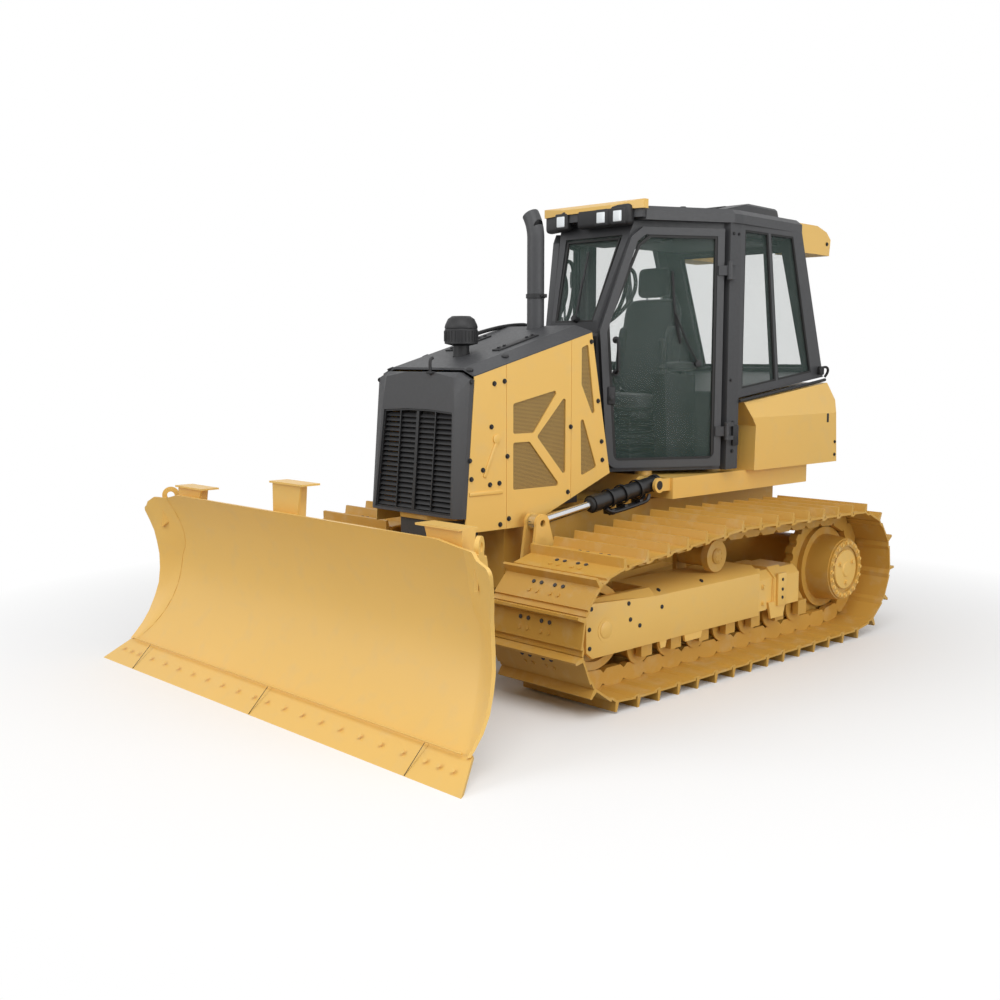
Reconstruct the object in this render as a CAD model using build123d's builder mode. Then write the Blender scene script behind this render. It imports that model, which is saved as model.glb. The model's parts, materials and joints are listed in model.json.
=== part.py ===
"""Small low-ground-pressure bulldozer with a six-way blade and an enclosed cab.

Millimetres.  +X points forward, +Y to the operator's left and +Z up.  The origin is at the
middle of the machine's length and width, on the ground that the track grousers stand on.
"""
import os
from math import acos, atan2, cos, degrees, hypot, pi, radians, sin, sqrt, tan

from build123d import *

os.makedirs("parts", exist_ok=True)

# ---------------------------------------------------------------- driving dimensions
# Undercarriage
track_centre_y = 955.0
shoe_width = 660.0
shoe_count = 39
shoe_gap = 5.0
shoe_thickness = 12.0
grouser_height = 48.0
grouser_base, grouser_tip = 26.0, 14.0
shoe_lip = 32.0
link_height = 100.0
rail_offset, rail_width = 75.0, 44.0
idler_x, idler_pitch_r = 830.0, 290.0
sprocket_x, sprocket_pitch_r = -1470.0, 325.0
carrier_x, carrier_tread_r, carrier_pitch_z = -180.0, 70.0, 782.0
roller_count, roller_tread_r, roller_flange_r = 7, 80.0, 97.0
roller_front_x, roller_rear_x = 470.0, -1060.0
running_gap = 0.3
fit_gap = 0.08
clearance = 6.0

# Track frames
frame_half_width = 165.0
frame_front_x, frame_rear_x = 960.0, -1010.0
frame_bottom_z, frame_top_z, frame_bevel = 285.0, 515.0, 45.0
frame_wall = 40.0

# Main frame
hull_half_width = 330.0
hull_front_x, hull_rear_x = 780.0, -1900.0
hull_bottom_z, hull_top_z, deck_thickness = 430.0, 900.0, 30.0
deck_half, deck_front_x, deck_nose_x, deck_nose_half = 250.0, 1060.0, 1165.0, 115.0
cross_shaft_r, cross_shaft_z = 70.0, 400.0
cross_shaft_xs = (-640.0, -900.0)

# C-shaped push frame
pivot_x, pivot_z = -500.0, 450.0
arm_y, arm_width, arm_half_height = 500.0, 110.0, 60.0
arm_front_x = 880.0
nose_x, nose_z, nose_r = 1560.0, 370.0, 100.0
pivot_pin_r = 32.0
nose_pin_r = 55.0
lug_x, lug_z = 690.0, 880.0

# Lift cylinders
lift_y = 500.0
lift_trunnion_x, lift_trunnion_z = -300.0, 1020.0
lift_barrel_r, lift_barrel_length, lift_rod_r = 52.0, 545.0, 24.0
lift_rod_start, lift_trunnion_r = 300.0, 28.0
eye_r, eye_width = 44.0, 50.0

# Angle and tilt cylinders
angle_tail_x, angle_eye_x, angle_eye_y = 850.0, 1615.0, 470.0
angle_barrel_r, angle_barrel_length, angle_rod_r = 42.0, 510.0, 20.0
angle_rod_start = 300.0
tilt_z, tilt_x, tilt_tail_y, tilt_eye_y = 720.0, 1795.0, 270.0, -310.0
tilt_barrel_r, tilt_barrel_length, tilt_rod_r = 45.0, 400.0, 22.0
tilt_rod_start = 200.0
tilt_pin_r, tilt_pin_z = 50.0, 480.0

# Blade
blade_half_width = 1610.0
blade_face_r, blade_face_cx, blade_face_cz = 660.0, 2535.0, 620.0
blade_plate = 16.0
blade_top_z, blade_shoulder_z, blade_corner_z = 1000.0, 937.0, 890.0
blade_top_half, blade_shoulder_half = 1150.0, 1470.0
end_flare_angle = radians(32)
end_flare = tan(end_flare_angle)
end_bit_reach = 30.0
edge_tip_x, edge_top_x, edge_top_z, edge_thickness = 2260.0, 2140.0, 122.0, 22.0
end_bit_length = 370.0

# Hood and radiator
hood_half_front, hood_half_rear = 390.0, 432.0
hood_front_x, hood_rear_x = 1130.0, 165.0
hood_bottom_z = 935.0
hood_front_top_z, hood_rear_top_z = 1680.0, 1945.0
hood_shoulder_half, hood_crown, hood_edge = 300.0, 38.0, 6.0
panel_thickness = 8.0
cowl_depth, cowl_lean, cowl_wall = 60.0, 65.0, 16.0
cowl_top_z, cowl_corner_z, cowl_shoulder_z = 1715.0, 1688.0, 1520.0
cowl_top_half, cowl_corner_half, cowl_shoulder_half, cowl_foot_half = 110.0, 286.0, 310.0, 346.0
louvre_count = 19

# Cab
cab_floor_z, cab_roof_z = 1085.0, 2625.0
cab_front_x, cab_front_half = -124.0, 228.0
cab_post_x, cab_post_half, cab_post_depth = -867.0, 650.0, 120.0
cab_rear_x, cab_rear_half = -2130.0, 568.0
cab_waist_z = 1955.0
windshield_lean, rear_lean = 0.342, 0.375
cab_wall = 45.0
rear_sill_z, sill_slope = 1655.0, 0.104
door_thickness = 40.0
glass_thickness = 6.0

# Rear body and platform
platform_z, platform_half, platform_front_x = 1060.0, 600.0, -400.0
tank_half, tank_front_x, tank_rear_x = 665.0, -1066.0, -2223.0
tank_front_top_z, tank_rear_top_z = 1505.0, 1615.0

pitch_z = grouser_height + shoe_thickness + link_height / 2
idler_z = pitch_z + idler_pitch_r
sprocket_z = pitch_z + sprocket_pitch_r
track_inner_y = track_centre_y - shoe_width / 2


def save(piece, label):
    piece.label = label
    export_step(piece, f"parts/{label}.step")


def save_pair(piece, label):
    save(piece, f"{label}_left")
    save(mirror(piece, about=Plane.XZ), f"{label}_right")


def side_plane(y):
    """Vertical plane at this y; its sketches read x forward and z up, and extrude to -Y."""
    return Plane.XZ.offset(-y)


# ---------------------------------------------------------------- track loop
def belt_path(circles):
    """Straight and round stretches of a belt run anticlockwise round circles (x, z, radius)."""
    normals = []
    for (x1, z1, r1), (x2, z2, r2) in zip(circles, circles[1:] + circles[:1]):
        toward = atan2(z2 - z1, x2 - x1)
        normals.append(toward - acos((r1 - r2) / hypot(x2 - x1, z2 - z1)))
    stretches = []
    for i, (x, z, r) in enumerate(circles):
        start = normals[i - 1]
        turn = (normals[i] - start) % (2 * pi)
        stretches.append(("arc", x, z, r, start, turn, r * turn))
        nx, nz, nr = circles[(i + 1) % len(circles)]
        a = normals[i]
        p = (x + r * cos(a), z + r * sin(a))
        q = (nx + nr * cos(a), nz + nr * sin(a))
        stretches.append(("line", p, q, a, hypot(q[0] - p[0], q[1] - p[1])))
    return stretches


def belt_point(stretches, s):
    for stretch in stretches:
        length = stretch[-1]
        if s <= length:
            break
        s -= length
    if stretch[0] == "arc":
        _, x, z, r, start, _, _ = stretch
        return x + r * cos(start + s / r), z + r * sin(start + s / r)
    _, p, q, _, length = stretch
    return p[0] + (q[0] - p[0]) * s / length, p[1] + (q[1] - p[1]) * s / length


carrier_pitch_r = carrier_tread_r + link_height / 2
loop = belt_path([
    (idler_x, idler_z, idler_pitch_r),
    (carrier_x, carrier_pitch_z - carrier_pitch_r, carrier_pitch_r),
    (sprocket_x, sprocket_z, sprocket_pitch_r),
])
loop_length = sum(stretch[-1] for stretch in loop)
pins = [belt_point(loop, (i + 0.5) * loop_length / shoe_count) for i in range(shoe_count)]
link_places = []
for (x1, z1), (x2, z2) in zip(pins, pins[1:] + pins[:1]):
    link_places.append(Location(((x1 + x2) / 2, (z1 + z2) / 2, 0), (0, 0, degrees(atan2(z2 - z1, x2 - x1)))))
pitch = min(hypot(x2 - x1, z2 - z1) for (x1, z1), (x2, z2) in zip(pins, pins[1:]))
half_shoe = (pitch - shoe_gap) / 2
plate_in, plate_out = -link_height / 2, -link_height / 2 - shoe_thickness
lip_x = -half_shoe - shoe_lip
shoe_outline = [
    (lip_x, plate_in), (-half_shoe, plate_in), (-half_shoe, plate_out), (half_shoe - grouser_base, plate_out),
    (half_shoe - grouser_tip, plate_out - grouser_height), (half_shoe, plate_out - grouser_height),
    (half_shoe, plate_in), (-half_shoe + 2 * shoe_thickness, plate_in),
    (-half_shoe, plate_in + shoe_thickness), (lip_x, plate_in + shoe_thickness),
]
link_half, link_neck = pitch / 2 + 1.5, 28.0
link_outline = [
    (-link_half, -link_neck), (-link_half + link_neck, plate_in - 1.0),
    (link_half - link_neck, plate_in - 1.0),
    (link_half, -link_neck), (link_half, link_neck), (link_half - link_neck, link_height / 2),
    (-link_half + link_neck, link_height / 2), (-link_half, link_neck),
]

with BuildPart() as track:
    for rail_y in (track_centre_y - rail_offset, track_centre_y + rail_offset):
        with BuildSketch(side_plane(rail_y)):
            with Locations(*link_places):
                Polygon(*link_outline, align=None)
        extrude(amount=rail_width / 2, both=True)
    with BuildSketch(side_plane(track_centre_y)):
        with Locations(*link_places):
            Polygon(*shoe_outline, align=None)
    extrude(amount=shoe_width / 2, both=True)
save_pair(track.part, "track")

# ---------------------------------------------------------------- sprockets, idlers and rollers
tooth_count = 23
with BuildPart() as sprocket:
    with BuildSketch(side_plane(track_centre_y)):
        with Locations((sprocket_x, sprocket_z)):
            Circle(sprocket_pitch_r + 22)
            with PolarLocations(sprocket_pitch_r + 24, tooth_count):
                Circle(26, mode=Mode.SUBTRACT)
    extrude(amount=27, both=True)
    with BuildSketch(side_plane(track_centre_y)):
        with Locations((sprocket_x, sprocket_z)):
            Circle(262)
    extrude(amount=60, both=True)
    with BuildSketch(side_plane(track_centre_y + 60)):
        with Locations((sprocket_x, sprocket_z)):
            Circle(215)
    extrude(amount=-150, taper=6)
    with BuildSketch(side_plane(track_centre_y + 210)):
        with Locations((sprocket_x, sprocket_z)):
            Circle(190)
            Circle(150, mode=Mode.SUBTRACT)
    extrude(amount=-12)
    with BuildSketch(side_plane(track_centre_y - 60)):
        with Locations((sprocket_x, sprocket_z)):
            Circle(190)
    extrude(amount=track_centre_y - 60 - hull_half_width)
sprockets = sprocket.part + mirror(sprocket.part, about=Plane.XZ)
save(sprockets, "sprockets")

rail_inner_r = sqrt(idler_pitch_r ** 2 - (pitch / 2) ** 2) - link_height / 2
with BuildPart() as idler:
    with BuildSketch(side_plane(track_centre_y)):
        with Locations((idler_x, idler_z)):
            Circle(rail_inner_r - running_gap)
    extrude(amount=108, both=True)
    with BuildSketch(side_plane(track_centre_y)):
        with Locations((idler_x, idler_z)):
            Circle(rail_inner_r + 22)
    extrude(amount=rail_offset - rail_width / 2 - 4, both=True)
    for side in (-1, 1):
        with BuildSketch(side_plane(track_centre_y + side * 108)):
            with Locations((idler_x, idler_z)):
                Circle(rail_inner_r - 45)
                Circle(70, mode=Mode.SUBTRACT)
        extrude(amount=side * 30, mode=Mode.SUBTRACT)
save(idler.part + mirror(idler.part, about=Plane.XZ), "idlers")

roller_z = pitch_z + link_height / 2 + roller_tread_r + running_gap
carrier_z = carrier_pitch_z - carrier_pitch_r
roller_step = (roller_front_x - roller_rear_x) / (roller_count - 1)
roller_xs = [roller_rear_x + i * roller_step for i in range(roller_count)]
cheek_y = frame_half_width - frame_wall
with BuildPart() as rollers:
    for x in roller_xs:
        with BuildSketch(side_plane(track_centre_y)):
            with Locations((x, roller_z)):
                Circle(roller_tread_r)
        extrude(amount=rail_offset + rail_width / 2, both=True)
        for side in (-1, 1):
            with BuildSketch(side_plane(track_centre_y + side * (rail_offset + rail_width / 2 + 6))):
                with Locations((x, roller_z)):
                    Circle(roller_flange_r)
            extrude(amount=6, both=True)
        with BuildSketch(side_plane(track_centre_y)):
            with Locations((x, roller_z)):
                Circle(26)
        extrude(amount=frame_half_width, both=True)
        for side in (-1, 1):
            with BuildSketch(side_plane(track_centre_y + side * (cheek_y + frame_wall / 2))):
                with Locations((x, roller_z)):
                    Rectangle(90, 2 * (frame_bottom_z - roller_z))
            extrude(amount=frame_wall / 2, both=True)
save(rollers.part + mirror(rollers.part, about=Plane.XZ), "track_rollers")

with BuildPart() as carrier:
    with BuildSketch(side_plane(track_centre_y)):
        with Locations((carrier_x, carrier_z)):
            Circle(carrier_tread_r - running_gap)
    extrude(amount=rail_offset + rail_width / 2, both=True)
    with BuildSketch(side_plane(track_centre_y + rail_offset + rail_width / 2)):
        with Locations((carrier_x, carrier_z)):
            Circle(carrier_tread_r + 22)
    extrude(amount=-45)
    with BuildSketch(side_plane(track_centre_y - rail_offset - rail_width / 2)):
        with Locations((carrier_x, carrier_z)):
            Circle(34)
    extrude(amount=50)
    with BuildSketch(side_plane(track_centre_y - rail_offset - rail_width / 2 - 15)):
        with Locations((carrier_x, (frame_top_z + carrier_z + 40) / 2)):
            Rectangle(90, carrier_z + 40 - frame_top_z)
    extrude(amount=30)
save(carrier.part + mirror(carrier.part, about=Plane.XZ), "carrier_rollers")

# ---------------------------------------------------------------- track frames
fork_x = idler_x - rail_inner_r - 22 - 2 * clearance
frame_band = 14.0
band_spans = ((-640.0, -560.0), (-850.0, -720.0))
guard_spans = ((300.0, 400.0), (-20.0, 180.0), (-850.0, -660.0))
guard_drop, guard_wall = 62.0, 16.0
with BuildPart() as track_frame:
    with BuildSketch(Plane.YZ.offset(frame_rear_x)):
        with Locations((track_centre_y, 0)):
            Polygon(
                (-frame_half_width, frame_bottom_z), (frame_half_width, frame_bottom_z),
                (frame_half_width, frame_top_z - frame_bevel), (frame_half_width - frame_bevel, frame_top_z),
                (-frame_half_width + frame_bevel, frame_top_z), (-frame_half_width, frame_top_z - frame_bevel),
                align=None,
            )
    extrude(amount=frame_front_x - frame_rear_x)
    # bands round the spring housing at the rear
    for rear_x, front_x in band_spans:
        with BuildSketch(Plane.YZ.offset(rear_x)):
            with Locations((track_centre_y, 0)):
                reach = frame_half_width + frame_band
                Polygon(
                    (-frame_half_width, frame_bottom_z), (reach, frame_bottom_z),
                    (reach, frame_top_z - frame_bevel),
                    (reach - frame_bevel - frame_band, frame_top_z + frame_band),
                    (-frame_half_width + frame_bevel, frame_top_z + frame_band),
                    (-frame_half_width, frame_top_z - frame_bevel), align=None,
                )
        extrude(amount=front_x - rear_x)
    # front cover plate with its round boss
    with BuildSketch(side_plane(track_centre_y + frame_half_width + frame_band)):
        with BuildLine():
            Polyline((frame_front_x, frame_bottom_z + 30), (frame_front_x, frame_top_z - frame_bevel - 20),
                     (frame_front_x - 470, frame_top_z - frame_bevel - 20),
                     (frame_front_x - 530, frame_bottom_z + 50), (frame_front_x - 500, frame_bottom_z + 30),
                     close=True)
        make_face()
    extrude(amount=frame_band)
    with BuildSketch(side_plane(track_centre_y + frame_half_width + frame_band + 8)):
        with Locations((idler_x, idler_z)):
            Circle(62)
    extrude(amount=8)
    with BuildSketch(Plane.XY.offset(frame_bottom_z)):
        with Locations(((frame_front_x + frame_rear_x) / 2, track_centre_y)):
            Rectangle(frame_front_x - frame_rear_x, 2 * cheek_y)
    extrude(amount=roller_z + roller_flange_r + clearance - frame_bottom_z, mode=Mode.SUBTRACT)
    with BuildSketch(Plane.XY.offset(frame_bottom_z)):
        with Locations(((fork_x + frame_front_x) / 2, track_centre_y)):
            Rectangle(frame_front_x - fork_x, 2 * cheek_y)
    extrude(amount=frame_top_z + frame_band - frame_bottom_z, mode=Mode.SUBTRACT)
    # roller guards that hang from the frame's lower edges
    for side in (-1, 1):
        for rear_x, front_x in guard_spans:
            with BuildSketch(side_plane(track_centre_y + side * (frame_half_width + guard_wall / 2))):
                Polygon((rear_x, frame_bottom_z + 40), (front_x, frame_bottom_z + 40),
                        (front_x - 30, frame_bottom_z - guard_drop),
                        (rear_x + 30, frame_bottom_z - guard_drop),
                        align=None)
            extrude(amount=guard_wall / 2, both=True)
save(track_frame.part + mirror(track_frame.part, about=Plane.XZ), "track_frames")

# ---------------------------------------------------------------- main frame
track_frame_inner_y = track_centre_y - frame_half_width
with BuildPart() as main_frame:
    with BuildSketch(side_plane(0)):
        Polygon(
            (hull_front_x, hull_bottom_z + 60), (hull_front_x, hull_top_z), (hull_rear_x, hull_top_z),
            (hull_rear_x, hull_bottom_z + 150), (hull_rear_x + 200, hull_bottom_z),
            (hull_front_x - 60, hull_bottom_z), align=None,
        )
    extrude(amount=hull_half_width, both=True)
    with BuildSketch(Plane.XY.offset(hull_top_z)):
        Polygon((hull_rear_x, -deck_half), (deck_front_x, -deck_half), (deck_nose_x, -deck_nose_half),
                (deck_nose_x, deck_nose_half), (deck_front_x, deck_half), (hull_rear_x, deck_half), align=None)
    extrude(amount=deck_thickness)
    for x in cross_shaft_xs:
        with BuildSketch(side_plane(0)):
            with Locations((x, cross_shaft_z)):
                Circle(cross_shaft_r)
        extrude(amount=track_frame_inner_y, both=True)
    # inner cheeks and pins that carry the push frame's arms
    for side in (-1, 1):
        inner = arm_y - arm_width / 2 - clearance
        with BuildSketch(side_plane(side * (hull_half_width + inner) / 2)):
            with Locations((pivot_x, pivot_z)):
                Circle(75)
        extrude(amount=(inner - hull_half_width) / 2, both=True)
        with BuildSketch(side_plane(side * (hull_half_width + arm_y + arm_width / 2 + 20) / 2)):
            with Locations((pivot_x, pivot_z)):
                Circle(pivot_pin_r)
        extrude(amount=(arm_y + arm_width / 2 + 20 - hull_half_width) / 2, both=True)
save(main_frame.part, "main_frame")

# ---------------------------------------------------------------- push frame
arm_in, arm_out = arm_y - arm_width / 2, arm_y + arm_width / 2
with BuildPart() as c_frame:
    for side in (-1, 1):
        with BuildSketch(side_plane(side * arm_y)):
            with BuildLine():
                Polyline(
                    (pivot_x, pivot_z + arm_half_height), (arm_front_x, nose_z + arm_half_height),
                    (arm_front_x, nose_z - arm_half_height),
                    (pivot_x, pivot_z - arm_half_height), close=True,
                )
            make_face()
            with Locations((pivot_x, pivot_z)):
                Circle(arm_half_height)
                Circle(pivot_pin_r + fit_gap, mode=Mode.SUBTRACT)
        extrude(amount=arm_width / 2, both=True)
    with BuildSketch(Plane.XY.offset(nose_z - arm_half_height)):
        with BuildLine():
            Polyline(
                (arm_front_x - 60, arm_out), (arm_front_x, arm_out), (arm_front_x, arm_in - 12),
                (nose_x - 60, 95), (nose_x, 95), (nose_x, -95), (nose_x - 60, -95),
                (arm_front_x, -arm_in + 12), (arm_front_x, -arm_out), (arm_front_x - 60, -arm_out),
                (arm_front_x - 60, -arm_in), (nose_x - 230, -60), (nose_x - 230, 60),
                (arm_front_x - 60, arm_in), close=True,
            )
        make_face()
        with Locations((nose_x, 0)):
            Circle(nose_r)
            Circle(nose_pin_r + fit_gap, mode=Mode.SUBTRACT)
    extrude(amount=2 * arm_half_height)
    # forked arm ends for the angle cylinders' tails
    for side in (-1, 1):
        with BuildSketch(Plane.XY.offset(nose_z - eye_width / 2 - clearance)):
            with Locations((arm_front_x, side * arm_y)):
                Rectangle(2 * (arm_front_x - angle_tail_x + 60), arm_width + 2)
        extrude(amount=eye_width + 2 * clearance, mode=Mode.SUBTRACT)
        with BuildSketch(Plane.XY.offset(nose_z - arm_half_height)):
            with Locations((angle_tail_x, side * arm_y)):
                Circle(18)
        extrude(amount=2 * arm_half_height)
    # lugs for the lift cylinders' rod eyes
    for side in (-1, 1):
        for ear in (-1, 1):
            y = side * lift_y + ear * (eye_width / 2 + clearance + 9)
            with BuildSketch(side_plane(y)):
                with BuildLine():
                    Polyline(
                        (lug_x - 190, pivot_z), (lug_x - 45, lug_z + 20), (lug_x + 45, lug_z + 20),
                        (lug_x + 120, pivot_z), close=True,
                    )
                make_face()
                with Locations((lug_x, lug_z)):
                    Circle(52)
                    Circle(20, mode=Mode.SUBTRACT)
            extrude(amount=9, both=True)
save(c_frame.part, "c_frame")

# ---------------------------------------------------------------- hydraulic cylinders
def cylinder_plane(tail, eye, across):
    """Plane at the tail whose normal runs to the eye; across is its x direction."""
    return Plane(origin=tail, x_dir=across, z_dir=Vector(*eye) - Vector(*tail))


def make_barrel(tail, eye, across, radius, length, rod_r, bore_start, body_start):
    """Barrel with a gland at its mouth, bored for its rod."""
    axis = cylinder_plane(tail, eye, across)
    with BuildPart(mode=Mode.PRIVATE) as barrel:
        with BuildSketch(axis.offset(body_start)):
            Circle(radius - 5)
        extrude(amount=length - body_start)
        with BuildSketch(axis.offset(length - 70)):
            Circle(radius)
        extrude(amount=70)
        with BuildSketch(axis.offset(body_start)):
            Circle(radius)
        extrude(amount=30)
        with BuildSketch(axis.offset(bore_start)):
            Circle(rod_r + fit_gap)
        extrude(amount=length - bore_start, mode=Mode.SUBTRACT)
    return barrel.part


def make_eye(place, axis_dir, radius, width, hole_r):
    with BuildPart(mode=Mode.PRIVATE) as eye:
        with BuildSketch(Plane(origin=place, z_dir=axis_dir)):
            Circle(radius)
            if hole_r:
                Circle(hole_r, mode=Mode.SUBTRACT)
        extrude(amount=width / 2, both=True)
    return eye.part


def make_rod(tail, eye, across, rod_r, start, axis_dir, eye_radius, width):
    axis = cylinder_plane(tail, eye, across)
    length = (Vector(*eye) - Vector(*tail)).length
    with BuildPart(mode=Mode.PRIVATE) as rod:
        with BuildSketch(axis.offset(start)):
            Circle(rod_r)
        extrude(amount=length - start)
        add(make_eye(eye, axis_dir, eye_radius, width, 0))
        with BuildSketch(Plane(origin=eye, z_dir=axis_dir)):
            Circle(18)
        extrude(amount=width, both=True, mode=Mode.SUBTRACT)
    return rod.part


across_y, across_z = (0, 1, 0), (0, 0, 1)
lift_tail, lift_eye = (lift_trunnion_x, lift_y, lift_trunnion_z), (lug_x, lift_y, lug_z)
with BuildPart() as lift_barrel:
    add(make_barrel(lift_tail, lift_eye, across_y, lift_barrel_r, lift_barrel_length, lift_rod_r, 115, -60))
    with BuildSketch(side_plane(lift_y)):
        with Locations((lift_trunnion_x, lift_trunnion_z)):
            Circle(lift_trunnion_r)
    extrude(amount=lift_barrel_r + clearance + 20, both=True)
save_pair(lift_barrel.part, "lift_barrel")
lift_rod = make_rod(lift_tail, lift_eye, across_y, lift_rod_r, lift_rod_start, across_y, eye_r, eye_width)
save_pair(lift_rod, "lift_rod")

angle_tail, angle_eye = (angle_tail_x, arm_y, nose_z), (angle_eye_x, angle_eye_y, nose_z)
with BuildPart() as angle_barrel:
    add(make_barrel(angle_tail, angle_eye, across_z, angle_barrel_r, angle_barrel_length, angle_rod_r, 85, 60))
    add(make_eye(angle_tail, across_z, 34, eye_width, 0))
    with BuildSketch(cylinder_plane(angle_tail, angle_eye, across_z)):
        Circle(24)
    extrude(amount=70)
    with BuildSketch(Plane(origin=angle_tail)):
        Circle(18 + fit_gap)
    extrude(amount=eye_width, both=True, mode=Mode.SUBTRACT)
save_pair(angle_barrel.part, "angle_barrel")
angle_rod = make_rod(angle_tail, angle_eye, across_z, angle_rod_r, angle_rod_start, across_z, 36, eye_width)
save_pair(angle_rod, "angle_rod")

tilt_tail, tilt_eye = (tilt_x, tilt_tail_y, tilt_z), (tilt_x, tilt_eye_y, tilt_z)
across_x = (1, 0, 0)
with BuildPart() as tilt_barrel:
    add(make_barrel(tilt_tail, tilt_eye, across_x, tilt_barrel_r, tilt_barrel_length, tilt_rod_r, 110, 60))
    add(make_eye(tilt_tail, across_x, 38, eye_width, 0))
    with BuildSketch(cylinder_plane(tilt_tail, tilt_eye, across_x)):
        Circle(20)
    extrude(amount=70)
    with BuildSketch(Plane(origin=tilt_tail, z_dir=across_x)):
        Circle(18 + fit_gap)
    extrude(amount=eye_width, both=True, mode=Mode.SUBTRACT)
save(tilt_barrel.part, "tilt_barrel")
save(make_rod(tilt_tail, tilt_eye, across_x, tilt_rod_r, tilt_rod_start, across_x, 38, eye_width), "tilt_rod")

# ---------------------------------------------------------------- yoke between push frame and blade
yoke_rear_x, yoke_plate, yoke_half = 1690.0, 40.0, 530.0
yoke_bottom_z, yoke_top_z = 300.0, 560.0
yoke_cheek = 30.0
tilt_pin_front_x = 1825.0
with BuildPart() as yoke:
    cheek_low = nose_z - arm_half_height - clearance - yoke_cheek
    for z in (cheek_low, nose_z + arm_half_height + clearance):
        with BuildSketch(Plane.XY.offset(z)):
            with Locations((nose_x, 0)):
                Circle(nose_r - 10)
            with Locations(((nose_x + yoke_rear_x) / 2, 0)):
                Rectangle(yoke_rear_x - nose_x, 2 * (nose_r - 10))
        extrude(amount=yoke_cheek)
    with BuildSketch(Plane.XY.offset(cheek_low)):
        with Locations((nose_x, 0)):
            Circle(nose_pin_r)
    extrude(amount=2 * (arm_half_height + clearance + yoke_cheek))
    with BuildSketch(Plane.YZ.offset(yoke_rear_x)):
        Polygon(
            (-yoke_half, yoke_bottom_z), (-150, cheek_low), (150, cheek_low), (yoke_half, yoke_bottom_z),
            (yoke_half, nose_z + 90), (tilt_tail_y + 60, yoke_top_z), (tilt_tail_y + 60, tilt_z + 50),
            (tilt_tail_y - 60, tilt_z + 50), (tilt_tail_y - 110, yoke_top_z), (-200, yoke_top_z),
            (-yoke_half, nose_z + 90), align=None,
        )
    extrude(amount=yoke_plate)
    with BuildSketch(Plane.YZ.offset(yoke_rear_x)):
        with Locations((0, tilt_pin_z)):
            Circle(tilt_pin_r)
    extrude(amount=tilt_pin_front_x - yoke_rear_x)
    with BuildSketch(Plane.YZ.offset(yoke_rear_x)):
        with Locations((tilt_tail_y, tilt_z)):
            Circle(18)
    extrude(amount=tilt_x + eye_width / 2 + 4 - yoke_rear_x)
    for side in (-1, 1):
        for z in (nose_z - eye_width / 2 - clearance - 20, nose_z + eye_width / 2 + clearance):
            with BuildSketch(Plane.XY.offset(z)):
                with Locations(((angle_eye_x + yoke_rear_x) / 2, side * angle_eye_y)):
                    Rectangle(yoke_rear_x - angle_eye_x, 80)
                with Locations((angle_eye_x, side * angle_eye_y)):
                    Circle(40)
                    Circle(18, mode=Mode.SUBTRACT)
            extrude(amount=20)
save(yoke.part, "yoke")

# ---------------------------------------------------------------- blade
def face_x(z, r=blade_face_r):
    """Forward position of the blade's curved face, or of an arc of another radius behind it."""
    return blade_face_cx - sqrt(r * r - (z - blade_face_cz) ** 2)


back_r = blade_face_r + blade_plate
edge_bottom_z = edge_top_z
face_bottom = (face_x(edge_top_z), edge_top_z)
edge_length = hypot(edge_tip_x - face_bottom[0], edge_top_z)
down = ((edge_tip_x - face_bottom[0]) / edge_length, -edge_top_z / edge_length)
inward = (down[1], -down[0])


def edge_point(along, depth):
    """Point along the cutting edge from its upper edge, at a depth behind its face."""
    return (face_bottom[0] + down[0] * along + inward[0] * depth,
            edge_top_z + down[1] * along + inward[1] * depth)


def arc_points(r, z_low, z_high):
    z_mid = (z_low + z_high) / 2
    return (face_x(z_low, r), z_low), (face_x(z_mid, r), z_mid), (face_x(z_high, r), z_high)


def end_outline(reach):
    """Plan of what lies outside the blade's flared end; reach moves the end outward."""
    tip_y = blade_half_width + reach
    return [(edge_tip_x + 10, tip_y + 10 * end_flare), (edge_tip_x + 10, tip_y + 400),
            (yoke_rear_x, tip_y + 400), (yoke_rear_x, tip_y - (edge_tip_x - yoke_rear_x) * end_flare)]


def ear_plane(side):
    """Outer face of a flared end plate: x runs forward along it, y upward, and its normal towards -Y."""
    ear_y = blade_half_width - end_bit_reach - (edge_tip_x - ear_x) * end_flare
    along = (cos(end_flare_angle), side * sin(end_flare_angle), 0)
    return Plane(origin=(ear_x, side * ear_y, 0), x_dir=along,
                 z_dir=(side * sin(end_flare_angle), -cos(end_flare_angle), 0))


ear_x, ear_z, ear_hole_r = 1912.0, 978.0, 22.0
end_plate, end_band, end_low_z = 20.0, 85.0, 240.0
rib_z, rib_height, rib_depth, rib_half = 310.0, 130.0, 95.0, 1300.0
top_rib_z, top_rib_height, top_rib_half = 880.0, 90.0, 1255.0
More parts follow.
